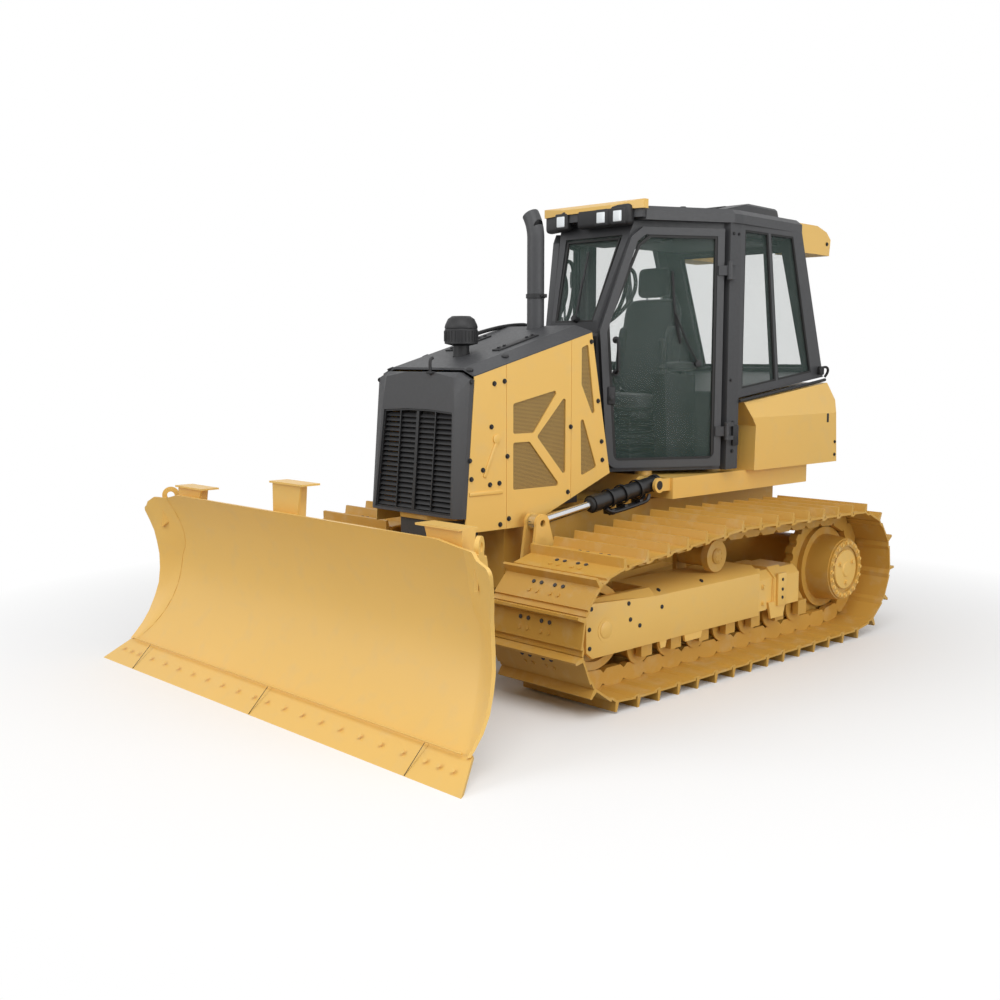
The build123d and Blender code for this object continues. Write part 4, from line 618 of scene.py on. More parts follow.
# ---------------------------------------------------------------- operators
class DOZER_OT_finishes(bpy.types.Operator):
    """Make every finish and give it to the machine's own pieces"""
    bl_idname = "dozer.finishes"
    bl_label = "Finishes"

    def execute(self, context):
        colours = context.scene.dozer_colours
        FINISHES.update({
            "body_paint": body_paint(colours.body),
            # darker copy of the body paint, painted shade under the machine, with more dust
            "shaded_track_paint": body_paint(colours.tracks, "shaded_track_paint", dust=0.35, roughness=0.52),
            "dark_trim": trim_paint(colours.trim),
            "black_grille": trim_paint(colours.black, "grille_black", 0.45),
            "black_plastic": black_plastic(colours.black),
            "cylinder_black": black_plastic(colours.black, "cylinder_black", 0.35),
            "glass": cab_glass(colours.glass),
            "steel": plated_steel(colours.steel),
            "engine_iron": cast_iron(),
            "upholstery": seat_cloth(),
            "screen": screen_mesh(colours.body),
            "rubber": black_rubber(),
            "lens": lamp_lens(),
            "red_lens": lamp_lens((0.32, 0.012, 0.008), "red_lens"),
            "bare_steel": plated_steel(scaled(colours.steel, 0.45), "worn_steel", 0.32),
        })
        # The undercarriage pieces get the darker track paint, painted shade; the rest keep their own slot's finish.
        for node, obj in NODES.items():
            assign(obj, FINISHES["shaded_track_paint" if node in SHADED_UNDERCARRIAGE_PIECES else SLOT_OF[node]])
        return {"FINISHED"}


class DOZER_OT_hood(bpy.types.Operator):
    """Dress the hood with screens, fastenings, ribs, hinges and a grab rail"""
    bl_idname = "dozer.hood"
    bl_label = "Hood"

    windows = (
        ((0.350, 1.374), (0.350, 1.541), (0.700, 1.614), (0.505, 1.374)),
        ((0.755, 1.580), (0.755, 1.110), (0.530, 1.352)),
        ((0.350, 1.062), (0.350, 1.326), (0.475, 1.326), (0.715, 1.062)),
        ((0.882, 1.640), (0.882, 1.850), (0.935, 1.872), (1.005, 1.400)),
        ((0.876, 1.500), (0.884, 1.105), (1.012, 1.150)),
    )
    bolts = (
        (0.211, 1.654), (0.285, 1.666), (0.048, 1.665), (0.190, 1.420), (0.306, 1.253), (0.036, 1.243),
        (0.128, 1.187), (0.046, 1.142), (0.179, 1.104), (0.247, 1.108), (0.795, 1.397), (0.775, 1.020),
        (0.960, 1.885), (1.020, 1.540), (1.052, 1.300), (1.060, 1.190), (0.317, 0.905), (0.253, 0.878),
    )

    def execute(self, context):
        screens = Form()
        for window in self.windows:
            screens.plate(grown(window, 1.10), HOOD.plane(-0.0105), 0.002)
        screens.both_sides().piece("hood_screens", "screen")

        bolts = Form()
        for run, height in self.bolts:
            bolts.bolt(HOOD.point(run, height), HOOD.out, 0.0105, 0.010)
        bolts.both_sides().piece("hood_bolts")

        ribs = Form()
        for start, end in (((0.243, 1.370), (0.138, 1.147)), ((0.030, 1.060), (0.270, 1.060))):
            ribs.bar(HOOD.point(*start, 0.002), HOOD.point(*end, 0.002), (0.022, 0.010), HOOD.out, 0.0045, 3)
        ribs.drum(HOOD.point(0.226, 1.352, 0.002), HOOD.out, 0.026, 0.012, 24, bevel=0.003)
        ribs.both_sides().piece("hood_ribs", "body_paint")

        straps = Form()
        for y in (-0.200, 0.200):
            front, rear = (Vector((x, y, hood_top_z(x) + 0.004)) for x in (0.72, 0.40))
            straps.bar(front, rear, (0.060, 0.010), HOOD_NORMAL, 0.003)
            for share in (0.08, 0.22, 0.78, 0.92):
                straps.bolt(front.lerp(rear, share) + Vector((0, 0, 0.004)), HOOD_NORMAL, 0.010, 0.009)
        for x in (1.045, 0.780):
            for side in (-1, 1):
                spot = (x, side * 0.340, hood_top_z(x, 0.340) - 0.001)
                straps.drum(spot, (0.26, side * 0.28, 0.92), 0.020, 0.012, 20, bevel=0.003)
        straps.piece("hood_hinges")

        rail = Form()
        rail.tube([(x, -0.28, z) for x, z in ((0.44, 1.880), (0.44, 1.925), (0.41, 1.942), (0.20, 1.985),
                                              (0.02, 2.000), (-0.03, 1.990), (-0.03, 1.920))], 0.012)
        rail.drum((0.44, -0.28, 1.908), HOOD_NORMAL, 0.026, 0.012, 20, bevel=0.002)
        rail.drum((-0.03, -0.28, 1.926), UP, 0.026, 0.012, 20, bevel=0.002)
        rail.piece("hood_grab_rail")
        return {"FINISHED"}


class DOZER_OT_intake(bpy.types.Operator):
    """Make the pre-cleaner's cap, the filler's guard, the cowl's catch and the stack's clamps"""
    bl_idname = "dozer.intake"
    bl_label = "Intake and exhaust"

    def execute(self, context):
        low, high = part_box("precleaner")
        mid = (low + high) / 2
        radius = (high.x - low.x) / 2
        dome = Form()
        shell = ((0.0, -0.014), (0.55, -0.012), (0.80, -0.002), (0.99, 0.020), (1.0, 0.012), (0.96, -0.002),
                 (0.80, -0.034), (0.55, -0.050), (0.0, -0.052))
        dome.turned([(radius * share, height) for share, height in shell], (mid.x, mid.y, high.z - 0.022),
                    (0, 0, -1), 40)
        ribs = 28
        for step in range(ribs):
            angle = 2 * pi * step / ribs
            out = Vector((cos(angle), sin(angle), 0))
            place = in_plane(Vector((mid.x, mid.y, high.z - 0.085)) + out * radius * 0.99, out, UP)
            dome.block((0.010, 0.006, 0.060), place, 0.0015, 1)
        dome.piece("precleaner_cap")

        bracket = Form()
        foot = Vector((mid.x, 0.0, low.z))
        bracket.band(0.062, 0.072, 0.012, foot + Vector((0, 0, 0.045)), UP)
        bracket.block((0.030, 0.022, 0.026), foot + Vector((0.078, 0, 0.045)), 0.003)
        for line in (((0.07, -0.10, 0.02), (0.14, -0.11, 0.075), (0.20, -0.10, 0.06), (0.215, -0.06, -0.01),
                      (0.20, -0.03, -0.05)),
                     ((0.07, 0.08, 0.00), (0.15, 0.08, 0.06), (0.22, 0.06, 0.04), (0.22, 0.02, -0.05))):
            bracket.tube([foot + Vector(point) for point in line], 0.013)
        bracket.block((0.16, 0.24, 0.030), tilted(foot + Vector((0.13, -0.01, -0.022)), 15), 0.008)
        bracket.drum(foot + Vector((0.13, -0.02, 0.02)), (0.2, 0, 1), 0.045, 0.060, 24, bevel=0.006)
        for y in (-0.09, 0.09):
            bracket.bolt(foot + Vector((0.17, y, -0.012)), (0.25, 0, 1), 0.011, 0.010)
        bracket.piece("filler_guard")

        catch = Form()
        catch.tube([(x, 0.10, z) for x, z in ((1.118, 1.700), (1.122, 1.750), (1.118, 1.790), (1.100, 1.792))], 0.009)
        catch.block((0.040, 0.050, 0.012), (1.112, 0.10, 1.712), 0.003)
        catch.piece("cowl_catch")

        stack_x = 0.195
        clamp = Form()
        for z in (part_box("exhaust_stack")[0].z + 0.10, 2.16):
            clamp.turned([(0.051, -0.014), (0.059, -0.012), (0.059, 0.012), (0.051, 0.014), (0.051, -0.014)],
                         (stack_x, 0.0, z), UP, 36)
            clamp.block((0.022, 0.050, 0.022), (stack_x, 0.062, z), 0.003)
            clamp.bolt((stack_x + 0.012, 0.070, z), FORWARD, 0.007, 0.007)
        clamp.piece("stack_clamps")
        return {"FINISHED"}


class DOZER_OT_lamps(bpy.types.Operator):
    """Set the lamps in the visor and in the rear housings"""
    bl_idname = "dozer.lamps"
    bl_label = "Lamps"

    def execute(self, context):
        face_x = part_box("front_lights")[1].x
        bezels, lenses = Form(), Form()
        for y, setback in ((-0.215, 0.025), (0.128, 0.020), (0.262, 0.020)):
            bezels.block((0.050, 0.112, 0.104), (face_x - setback + 0.004, y, 2.648), 0.012, 3)
            lenses.block((0.012, 0.066, 0.066), (face_x - setback + 0.029, y, 2.648), 0.010, 3)
        for y, width, setback, turn in ((0.128, 0.430, 0.034, 0.0), (-0.290, 0.270, 0.0637, -0.33)):
            pod = in_plane((face_x - setback, y, 2.656), LEFT, (1, turn, 0))
            bezels.block((width, 0.128, 0.070), pod, 0.026, 3)
        bezels.piece("front_lamp_bezels")
        lenses.piece("front_lamp_lenses", "lens")

        bezels, lenses, stop_lenses = Form(), Form(), Form()
        for y in (0.415, 0.510):
            place = in_plane((-2.158, y, 2.556), LEFT, (-0.97, 0, -0.10))
            bezels.block((0.086, 0.084, 0.022), place, 0.008, 3)
            lenses.block((0.066, 0.064, 0.010), raised(place, 0.011), 0.006, 3)
        place = in_plane((-2.2265, 0.455, 1.300), LEFT, BACKWARD)
        bezels.block((0.150, 0.070, 0.010), place, 0.004, 3)
        stop_lenses.block((0.136, 0.056, 0.010), raised(place, 0.005), 0.004, 3)
        bezels.bolt((-2.115, 0.574, 2.575), LEFT, 0.010, 0.007)
        bezels.both_sides().piece("rear_lamp_bezels")
        lenses.both_sides().piece("rear_lamp_lenses", "lens")
        stop_lenses.both_sides().piece("rear_stop_lenses", "red_lens")
        return {"FINISHED"}


class DOZER_OT_doors(bpy.types.Operator):
    """Fit seals, handles and wipers to both doors"""
    bl_idname = "dozer.doors"
    bl_label = "Doors"

    outline = ((0.062, 1.110), (0.8195, 1.110), (0.8195, 2.585), (0.280, 2.585), (0.205, 2.525), (0.008, 1.955))

    def execute(self, context):
        inset = 0.046
        mid_u, mid_z = middle(self.outline)
        glazing = [(u + (inset if u < mid_u else -inset), z + (inset if z < mid_z else -inset))
                   for u, z in self.outline]
        for name, flip in SIDES:
            body = "door_" + name
            seal = Form()
            seal.plate(glazing, DOOR.plane(-0.0205), 0.016, rim=0.016)
            seal.piece("door_seal_" + name, "rubber", body, flip)

            handle = Form()
            grip = ((1.700, -0.004), (1.700, 0.044), (1.735, 0.050), (1.865, 0.050), (1.900, 0.044), (1.900, -0.004))
            handle.tube([DOOR.point(0.110, z, out) for z, out in grip], 0.010)
            for z in (1.700, 1.900):
                handle.drum(DOOR.point(0.110, z, 0.003), DOOR.out, 0.022, 0.008, 20, bevel=0.002)
            handle.block((0.050, 0.110, 0.014), DOOR.plane(0.002) @ Matrix.Translation((0.085, 1.560, 0.0)), 0.006, 3)
            handle.drum(DOOR.point(0.085, 1.545, 0.010), DOOR.out, 0.016, 0.010, 20, bevel=0.002)
            handle.piece("door_handle_" + name, "black_plastic", body, flip)

            wiper = Form()
            arm = ((0.655, 1.755, 0.000), (0.640, 1.775, 0.014), (0.560, 1.900, 0.016), (0.500, 2.060, 0.008))
            blade = ((0.540, 1.880), (0.505, 2.020), (0.490, 2.150), (0.480, 2.320))
            wiper.tube([DOOR.point(*spot) for spot in arm], 0.006)
            wiper.tube([DOOR.point(*spot, -0.008) for spot in blade], 0.008)
            wiper.drum(DOOR.point(0.655, 1.755, -0.004), DOOR.out, 0.022, 0.030, 20, bevel=0.004)
            wiper.piece("door_wiper_" + name, "black_plastic", body, flip)
        return {"FINISHED"}


class DOZER_OT_cab(bpy.types.Operator):
    """Fit the cab's seals, grab rails, windshield wiper, lining and fastenings"""
    bl_idname = "dozer.cab"
    bl_label = "Cab trim"

    def execute(self, context):
        sill, sill_fall, pane_top = 1.655, 0.104, 2.593
        wall_front, wall_rear = -0.987, 2.130
        seals = Form()
        for top, low in (((0.045, 0.332), (0.045, 0.480)), ((0.362, 0.660), (0.510, 0.965))):
            low_z = [sill - (wall_front - run + wall_rear) * sill_fall + 0.052 for run in low]
            seals.plate([*zip(low, low_z), (top[1], pane_top), (top[0], pane_top)], CAB.plane(-0.0145), 0.012,
                        rim=0.012)
        rear = in_plane((-wall_rear, 0.0, sill), (0, -1, 0), (-1, 0, 0.375))
        seals.plate([(-0.438, 0.080), (0.438, 0.080), (0.438, 0.930), (-0.438, 0.930)],
                    raised(rear, -0.0145), 0.012, rim=0.014)
        front_lean = (1, 0, 0.342)
        front = in_plane((-0.124, 0.0, 1.955), LEFT, front_lean)
        seals.plate([(-0.158, 0.060), (0.158, 0.060), (0.222, 0.605), (-0.222, 0.605)],
                    raised(front, -0.014), 0.012, rim=0.012)
        for side in (1, -1):
            seals.tube([(x, side * y, z) for x, y, z in ((-1.000, 0.655, 1.515), (-1.400, 0.640, 1.560),
                                                         (-2.000, 0.605, 1.622), (-2.120, 0.590, 1.635))], 0.011)
        seals.piece("cab_seals", "rubber")

        wiper = Form()
        arm = ((0.020, 0.075, 0.010), (0.015, 0.200, 0.016), (0.000, 0.330, 0.010))
        blade = ((0.015, 0.130, 0.002), (0.000, 0.300, 0.004), (-0.010, 0.520, 0.002))
        for line, radius in ((arm, 0.006), (blade, 0.007)):
            wiper.tube([front @ Vector(spot) for spot in line], radius)
        wiper.drum(front @ Vector(arm[0]), front_lean, 0.020, 0.050, 20, bevel=0.004)
        wiper.piece("windshield_wiper")

        rails = Form()
        for side in (-1, 1):
            for inset, top, bottom in ((0.120, 2.400, 1.990), (0.055, 2.330, 2.020)):
                line = ((-0.300, 0.330, top), (-0.365, 0.345, top + 0.02), (-0.400, 0.350, top - 0.10),
                        (-0.345, 0.330, bottom + 0.10), (-0.235, 0.290, bottom), (-0.195, 0.270, bottom - 0.02))
                rails.tube([(x, side * (y - inset), z) for x, y, z in line], 0.013)
        rails.piece("cab_grab_rails", "rubber")

        lining = Form()
        lining.block((1.30, 0.86, 0.030), (-1.170, 0.0, 2.564), 0.012, 3)
        lining.block((0.30, 0.50, 0.055), (-0.560, 0.0, 2.540), 0.018, 3)
        for y in (-0.20, 0.0, 0.20):
            lining.turned([(0.0, 0.0), (0.034, 0.0), (0.040, 0.006), (0.040, 0.014), (0.0, 0.016)],
                          (-0.80, y, 2.548), (0, 0, -1), 24)
        lining.piece("cab_lining", "dark_trim")

        fastenings = Form()
        for z in (1.200, 1.290, 1.380):
            fastenings.bolt((-0.935, 0.650, z), LEFT, 0.010, 0.009)
        fastenings.block((0.060, 0.018, 0.130), (-0.955, 0.657, 1.300), 0.005)
        fastenings.block((0.050, 0.030, 0.060), (-2.050, 0.598, 1.700), 0.008)
        fastenings.tube([(-2.040, 0.600, 1.715), (-2.075, 0.628, 1.735), (-2.110, 0.625, 1.690),
                         (-2.090, 0.605, 1.655)], 0.009)
        for x, z in ((-0.905, 2.560), (-0.905, 1.650), (-0.960, 2.560)):
            fastenings.bolt((x, 0.650, z), LEFT, 0.008, 0.007)
        fastenings.both_sides().piece("cab_fastenings")

        mat = Form()
        mat.block((0.62, 0.40, 0.012), (-0.470, 0.0, 1.133), 0.004)
        for step in range(12):
            mat.block((0.010, 0.36, 0.005), (-0.74 + step * 0.048, 0.0, 1.141), 0.001, 1)
        mat.piece("floor_mat", "rubber")
        return {"FINISHED"}


class DOZER_OT_seat(bpy.types.Operator):
    """Upholster the operator's seat"""
    bl_idname = "dozer.seat"
    bl_label = "Seat"

    def execute(self, context):
        base = Form()
        base.block((0.330, 0.320, 0.050), (-0.680, 0.0, 1.152), 0.008, 3)
        for step in range(5):
            base.block((0.270, 0.270, 0.034), (-0.675, 0.0, 1.200 + step * 0.042), 0.014, 3)
        base.block((0.420, 0.420, 0.045), (-0.680, 0.0, 1.432), 0.014, 3)
        for side in (-1, 1):
            base.block((0.300, 0.040, 0.050), (-0.660, side * 0.215, 1.425), 0.010, 3)
            base.drum((-0.560, side * 0.236, 1.425), (0, side, 0), 0.024, 0.006, 24, bevel=0.002)
        base.piece("seat_base")
        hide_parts("seat")

        back_lean = -98.5
        cushion = Form()
        cushion.pad((0.490, 0.465, 0.108), tilted((-0.668, 0.0, 1.510), -3), 0.32, (-0.45, 0.05, 0.5))
        cushion.piece("seat_cushion", "upholstery", crease=60.0)
        back = Form()
        back.pad((0.620, 0.465, 0.112), tilted((-0.892, 0.0, 1.868), back_lean), 0.34, (-0.55, -0.1, 0.4))
        for side in (-1, 1):
            back.pad((0.400, 0.070, 0.126), tilted((-0.872, side * 0.200, 1.800), back_lean), 0.30, (), 0.0)
        back.piece("seat_back", "upholstery", crease=60.0)
        rest = Form()
        rest.pad((0.195, 0.255, 0.084), tilted((-0.938, 0.0, 2.285), -94), 0.36, (), 0.005)
        rest.piece("head_rest", "upholstery", crease=60.0)
        stems = Form()
        for y in (-0.06, 0.06):
            stems.drum((-0.935, y, 2.185), (0.06, 0, 1), 0.007, 0.060, 16)
        stems.piece("head_rest_stems", "bare_steel")
        return {"FINISHED"}


class DOZER_OT_controls(bpy.types.Operator):
    """Place arm rests, joysticks, display, dash and pedals"""
    bl_idname = "dozer.controls"
    bl_label = "Controls"

    def execute(self, context):
        console_y = 0.320
        grips, rests, posts = Form(), Form(), Form()
        for side in (-1, 1):
            y = side * console_y
            grips.turned([(0.0, 0.0), (0.045, 0.0), (0.040, 0.020), (0.026, 0.032), (0.030, 0.045), (0.020, 0.060),
                          (0.011, 0.068), (0.011, 0.110), (0.0, 0.112)], (-0.640, y, 1.684), UP, 28)
            grips.turned([(0.0, 0.0), (0.016, 0.004), (0.021, 0.030), (0.018, 0.065), (0.024, 0.095), (0.026, 0.115),
                          (0.018, 0.128), (0.0, 0.130)], (-0.636, y, 1.786), (0.12, 0, 1), 28)
            rests.pad((0.270, 0.085, 0.062), Matrix.Translation((-0.810, y, 1.735)), 0.30, (), 0.004)
            posts.block((0.050, 0.040, 0.050), (-0.830, y, 1.702), 0.006)
            posts.block((0.160, 0.115, 0.010), (-0.650, y, 1.689), 0.004)
            for step in range(4):
                posts.block((0.020, 0.014, 0.008), (-0.700 + step * 0.030, side * 0.285, 1.697), 0.002)
        grips.piece("joysticks", "rubber")
        rests.piece("arm_rests", "upholstery", crease=60.0)
        posts.piece("console_switches")

        dash, dash_lean = Form(), -12
        dash.block((0.090, 0.300, 0.250), tilted((-0.235, 0.0, 1.760), dash_lean), 0.020, 3)
        dash.block((0.028, 0.200, 0.140), tilted((-0.300, -0.05, 1.955), dash_lean), 0.010, 3)
        dash.tube([(-0.27, -0.05, 1.86), (-0.29, -0.05, 1.90), (-0.298, -0.05, 1.93)], 0.012)
        for y in (-0.09, 0.09):
            dash.block((0.014, 0.080, 0.130), tilted((-0.330, y, 1.215), -35), 0.004)
            dash.tube([(-0.325, y, 1.215), (-0.27, y, 1.19), (-0.215, y, 1.17)], 0.009)
        dash.piece("dash_and_pedals")
        screen = Form()
        screen.block((0.004, 0.176, 0.116), tilted((-0.3155, -0.05, 1.952), dash_lean), 0.001, 1)
        screen.piece("dash_screen", "lens", slot="glass")
        return {"FINISHED"}


class DOZER_OT_tracks(bpy.types.Operator):
    """Bolt the track shoes and final drives, and cap the rollers"""
    bl_idname = "dozer.tracks"
    bl_label = "Tracks"

    def execute(self, context):
        bolts, worn = Form(), Form()
        shoe_skin = 0.062
        for centre, along in shoe_places():
            down = Vector((along.y, -along.x))
            for row, offset in ((bolts, -0.030), (worn, 0.022)):
                spot = centre + along * offset + down * shoe_skin
                for y in (-0.103, -0.047, 0.047, 0.103):
                    row.drum((spot.x, TRACK_Y + y, spot.y), (down.x, 0, down.y), 0.0115, 0.012, 6)
        bolts.both_sides().piece("shoe_bolts", "shaded_track_paint")
        worn.both_sides().piece("shoe_bolts_worn", "engine_iron")

        hubs = Form()
        hub = Vector((SPROCKET[0], TRACK_Y, SPROCKET[1]))
        hubs.bolt_ring(hub + Vector((0, 0.221, 0)), 0.171, 20, 0.012, 0.012)
        hubs.turned([(0.0, 0.0), (0.120, 0.0), (0.128, 0.006), (0.124, 0.014), (0.050, 0.018), (0.042, 0.026),
                     (0.0, 0.028)], hub + Vector((0, 0.209, 0)), LEFT, 40)
        hubs.bolt_ring(hub + Vector((0, 0.224, 0)), 0.085, 3, 0.014, 0.012, start=0.5)
        hubs.both_sides().piece("final_drive_bolts", "body_paint")

        caps = Form()
        low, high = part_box("track_rollers")
        z = (low.z + high.z) / 2
        for step in range(7):
            x = 0.470 - step * 0.255
            caps.turned([(0.0, 0.0), (0.034, 0.0), (0.034, 0.012), (0.026, 0.020), (0.0, 0.021)],
                        (x, TRACK_Y + 0.112, z), LEFT, 24)
            caps.drum((x, TRACK_Y + 0.136, z), LEFT, 0.012, 0.010, 6)
        hub = Vector((CARRIER[0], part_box("carrier_rollers")[1].y, CARRIER[1]))
        caps.turned([(0.0, 0.0), (0.045, 0.0), (0.045, 0.014), (0.034, 0.024), (0.0, 0.026)],
                    hub - Vector((0, 0.006, 0)), LEFT, 28)
        caps.bolt_ring(hub + Vector((0, 0.016, 0)), 0.026, 5, 0.005, 0.005)
        caps.both_sides().piece("roller_caps", "shaded_track_paint")
        return {"FINISHED"}


class DOZER_OT_track_frames(bpy.types.Operator):
    """Fit covers, plugs, weld beads and bolts to the track frames"""
    bl_idname = "dozer.track_frames"
    bl_label = "Track frames"

    cover = ((-0.555, 0.262), (0.930, 0.262), (0.978, 0.300), (0.982, 0.500), (0.962, 0.545), (0.940, 0.552),
             (0.420, 0.520), (-0.555, 0.520))
    plugs = ((0.635, 0.424), (0.557, 0.380), (0.371, 0.454), (0.955, 0.320), (0.958, 0.420), (0.945, 0.525),
             (0.650, 0.512))

    def execute(self, context):
        face = TRACK_Y + 0.165
        lip = face + 0.019
        covers = Form()
        covers.plate([(x, -z) for x, z in self.cover], in_plane((0, face, 0), FORWARD, LEFT), 0.020,
                     bevel=0.004)
        for x, length, low, high, outer, inner, top in ((-0.555, 0.985, 0.505, 0.519, 1.080, 0.835, 0.560),
                                                        (0.430, 0.470, 0.500, 0.522, 1.095, 1.062, 0.562)):
            covers.plate([(lip, low), (lip, high), (outer, top), (inner, top), (inner, low)],
                         in_plane((x, 0, 0), LEFT, FORWARD), length)
        covers.turned([(0.0, 0.0), (0.046, 0.0), (0.046, 0.006), (0.040, 0.010), (0.0, 0.010)],
                      (IDLER[0], face + 0.018, 0.400), LEFT, 32)
        covers.block((0.090, 0.018, 0.200), (-0.785, face + 0.022, 0.395), 0.005)
        covers.both_sides().piece("frame_covers", "body_paint")

        plugs = Form()
        for x, z in self.plugs:
            plugs.drum((x, face + 0.021, z), LEFT, 0.012, 0.006, 16, bevel=0.001)
        for x in (0.365, -0.020):
            plugs.drum((x, 1.110, 0.541), (0, 0.57, 0.82), 0.012, 0.008, 16, bevel=0.001)
        for z in (0.345, 0.395, 0.455):
            plugs.drum((-0.785, face + 0.032, z), LEFT, 0.010, 0.006, 16, bevel=0.001)
        plugs.both_sides().piece("frame_plugs")

        welds = Form()
        for x in (-0.640, -0.560, -0.850, -0.720):
            welds.tube([(x, face + 0.004, z) for z in (0.290, 0.380, 0.465)], 0.005, 2)
        for z in (0.330, 0.430):
            welds.bolt((-0.600, face + 0.014, z), LEFT, 0.013, 0.012)
        welds.both_sides().piece("frame_welds", "body_paint")
        return {"FINISHED"}


class DOZER_OT_hydraulics(bpy.types.Operator):
    """Fit pipes, clamps, caps and glands to the lift cylinders and fittings to the angle cylinders"""
    bl_idname = "dozer.hydraulics"
    bl_label = "Hydraulics"

    def execute(self, context):
        tail, eye = Vector((-0.300, 0.500, 1.020)), Vector((0.690, 0.500, 0.880))
        run = (eye - tail).normalized()
        below = Vector((run.z, 0, -run.x))
        for name, flip in SIDES:
            body = "lift_barrel_" + name
            pipes = Form()
            for offset in (0.020, -0.020):
                start = tail + Vector((0, offset + 0.012, 0))
                line = ((0.050, 0.045), (0.060, 0.080), (0.120, 0.086), (0.300, 0.086), (0.400 + offset, 0.080),
                        (0.430 + offset, 0.045))
                pipes.tube([start + run * along + below * drop for along, drop in line], 0.011)
            for place in (0.130, 0.270, 0.390):
                spot = tail + run * place
                pipes.band(0.052, 0.058, 0.010, spot, run)
                pipes.block((0.030, 0.075, 0.034), in_plane(spot + below * 0.078, run, below), 0.005)
                pipes.bolt(spot + below * 0.094, below, 0.007, 0.007)
            pipes.piece("lift_pipes_" + name, "cylinder_black", body, flip)
            cap = Form()
            cap.turned([(0.0, 0.0), (0.030, 0.0), (0.034, 0.004), (0.034, 0.010), (0.020, 0.014), (0.0, 0.014)],
                       tail + Vector((0, 0.062, 0)), LEFT, 28)
            cap.piece("lift_trunnion_cap_" + name, "bare_steel", body, flip)
            wiper = Form()
            wiper.turned([(0.0245, -0.010), (0.044, -0.010), (0.040, 0.010), (0.030, 0.016), (0.0245, 0.016),
                          (0.0245, -0.010)], tail + run * 0.552, run, 32)
            wiper.piece("lift_gland_" + name, "rubber", body, flip)

        tail, eye = Vector((0.850, 0.500, 0.370)), Vector((1.615, 0.470, 0.370))
        run = (eye - tail).normalized()
        for name, flip in SIDES:
            fittings = Form()
            for place in (0.075, 0.455):
                spot = tail + run * place
                fittings.drum(spot + Vector((0, 0, 0.046)), UP, 0.013, 0.022, 6)
                fittings.tube([spot + Vector((0, 0, 0.050)), spot + Vector((0, 0, 0.082)),
                               spot - run * 0.045 + Vector((0, 0, 0.088)),
                               spot - run * 0.070 + Vector((0, -0.004, 0.062))], 0.009)
            fittings.piece("angle_fittings_" + name, "cylinder_black", "angle_barrel_" + name, flip)
        return {"FINISHED"}


class DOZER_OT_blade(bpy.types.Operator):
    """Bolt the cutting edges, weld the blade's seams and bend its outer wings"""
    bl_idname = "dozer.blade"
    bl_label = "Blade"

    # height of the wing's face, then its rim: height, y and x
    wing = ((0.970, 0.912, 1.490, 2.000), (0.935, 0.900, 1.505, 2.003), (0.887, 0.880, 1.510, 1.999),
            (0.820, 0.820, 1.494, 1.978), (0.758, 0.758, 1.478, 1.960), (0.690, 0.690, 1.466, 1.952),
            (0.617, 0.617, 1.460, 1.948), (0.530, 0.530, 1.463, 1.947), (0.442, 0.442, 1.471, 1.953),
            (0.360, 0.360, 1.482, 1.976), (0.274, 0.274, 1.494, 2.010), (0.200, 0.200, 1.501, 2.056),
            (0.141, 0.141, 1.504, 2.108), (0.116, 0.116, 1.505, 2.134))

    def execute(self, context):
        edge_top, edge_foot = Vector((2.140, 0.0, 0.122)), Vector((2.260, 0.0, 0.0))
        out = Vector((0.122, 0.0, 0.120)).normalized()
        bolts = Form()
        for y in [0.060 + 0.155 * number for number in range(8)] + [1.300, 1.390, 1.480]:
            spot = edge_top.lerp(edge_foot, 0.42) + Vector((0, y, 0)) + out * 0.0005
            bolts.drum(spot, out, 0.0115, 0.0012, 12, top=0.0110)
        bolts.both_sides().piece("edge_bolts", "body_paint", "blade")

        seams = Form()
        for y in (0.000, 1.240):
            top, foot = (Vector((x, y, z)) + out * 0.0002 for x, z in ((2.141, 0.1225), (2.259, 0.0025)))
            seams.bar(top, foot, (0.0035, 0.002), out, 0.0006, 1)
        seams.both_sides().piece("edge_seams", "rubber", "blade", slot="body_paint")

        welds = Form()
        welds.tube([(2.130, y, 0.126) for y in (-1.470, 0.0, 1.470)], 0.005, 2)
        welds.piece("blade_welds", "body_paint", "blade")

        bend_x, bend_z, bend_radius = 2.535, 0.620, 0.660
        end_x, end_y, end_flare = 2.260, 1.575, 0.625
        wings = Form()
        face, seam, between, rim = [], [], [], []
        for z, rim_z, y, x in self.wing:
            face_x = bend_x - (bend_radius ** 2 - (z - bend_z) ** 2) ** 0.5
            seam_y = end_y - (end_x - face_x) * end_flare
            swell = 0.028 * min(1.0, max(0.0, (z - 0.600) / 0.110))
            face.append(Vector((face_x + 0.0012, seam_y - 0.015 - swell * 2.5, z)))
            seam.append(Vector((face_x + 0.002 + swell, seam_y + 0.002, z)))
            rim.append(Vector((x + swell * 0.3, y, rim_z)))
            between.append((seam[-1] + rim[-1]) / 2 + Vector((swell * 0.55, 0.0, 0.0)))
        wings.web((face, seam, between, rim), Vector((-0.016, 0.008, 0.0)))
        wings.both_sides().piece("blade_wings", "body_paint", "blade", crease=50.0)
        return {"FINISHED"}


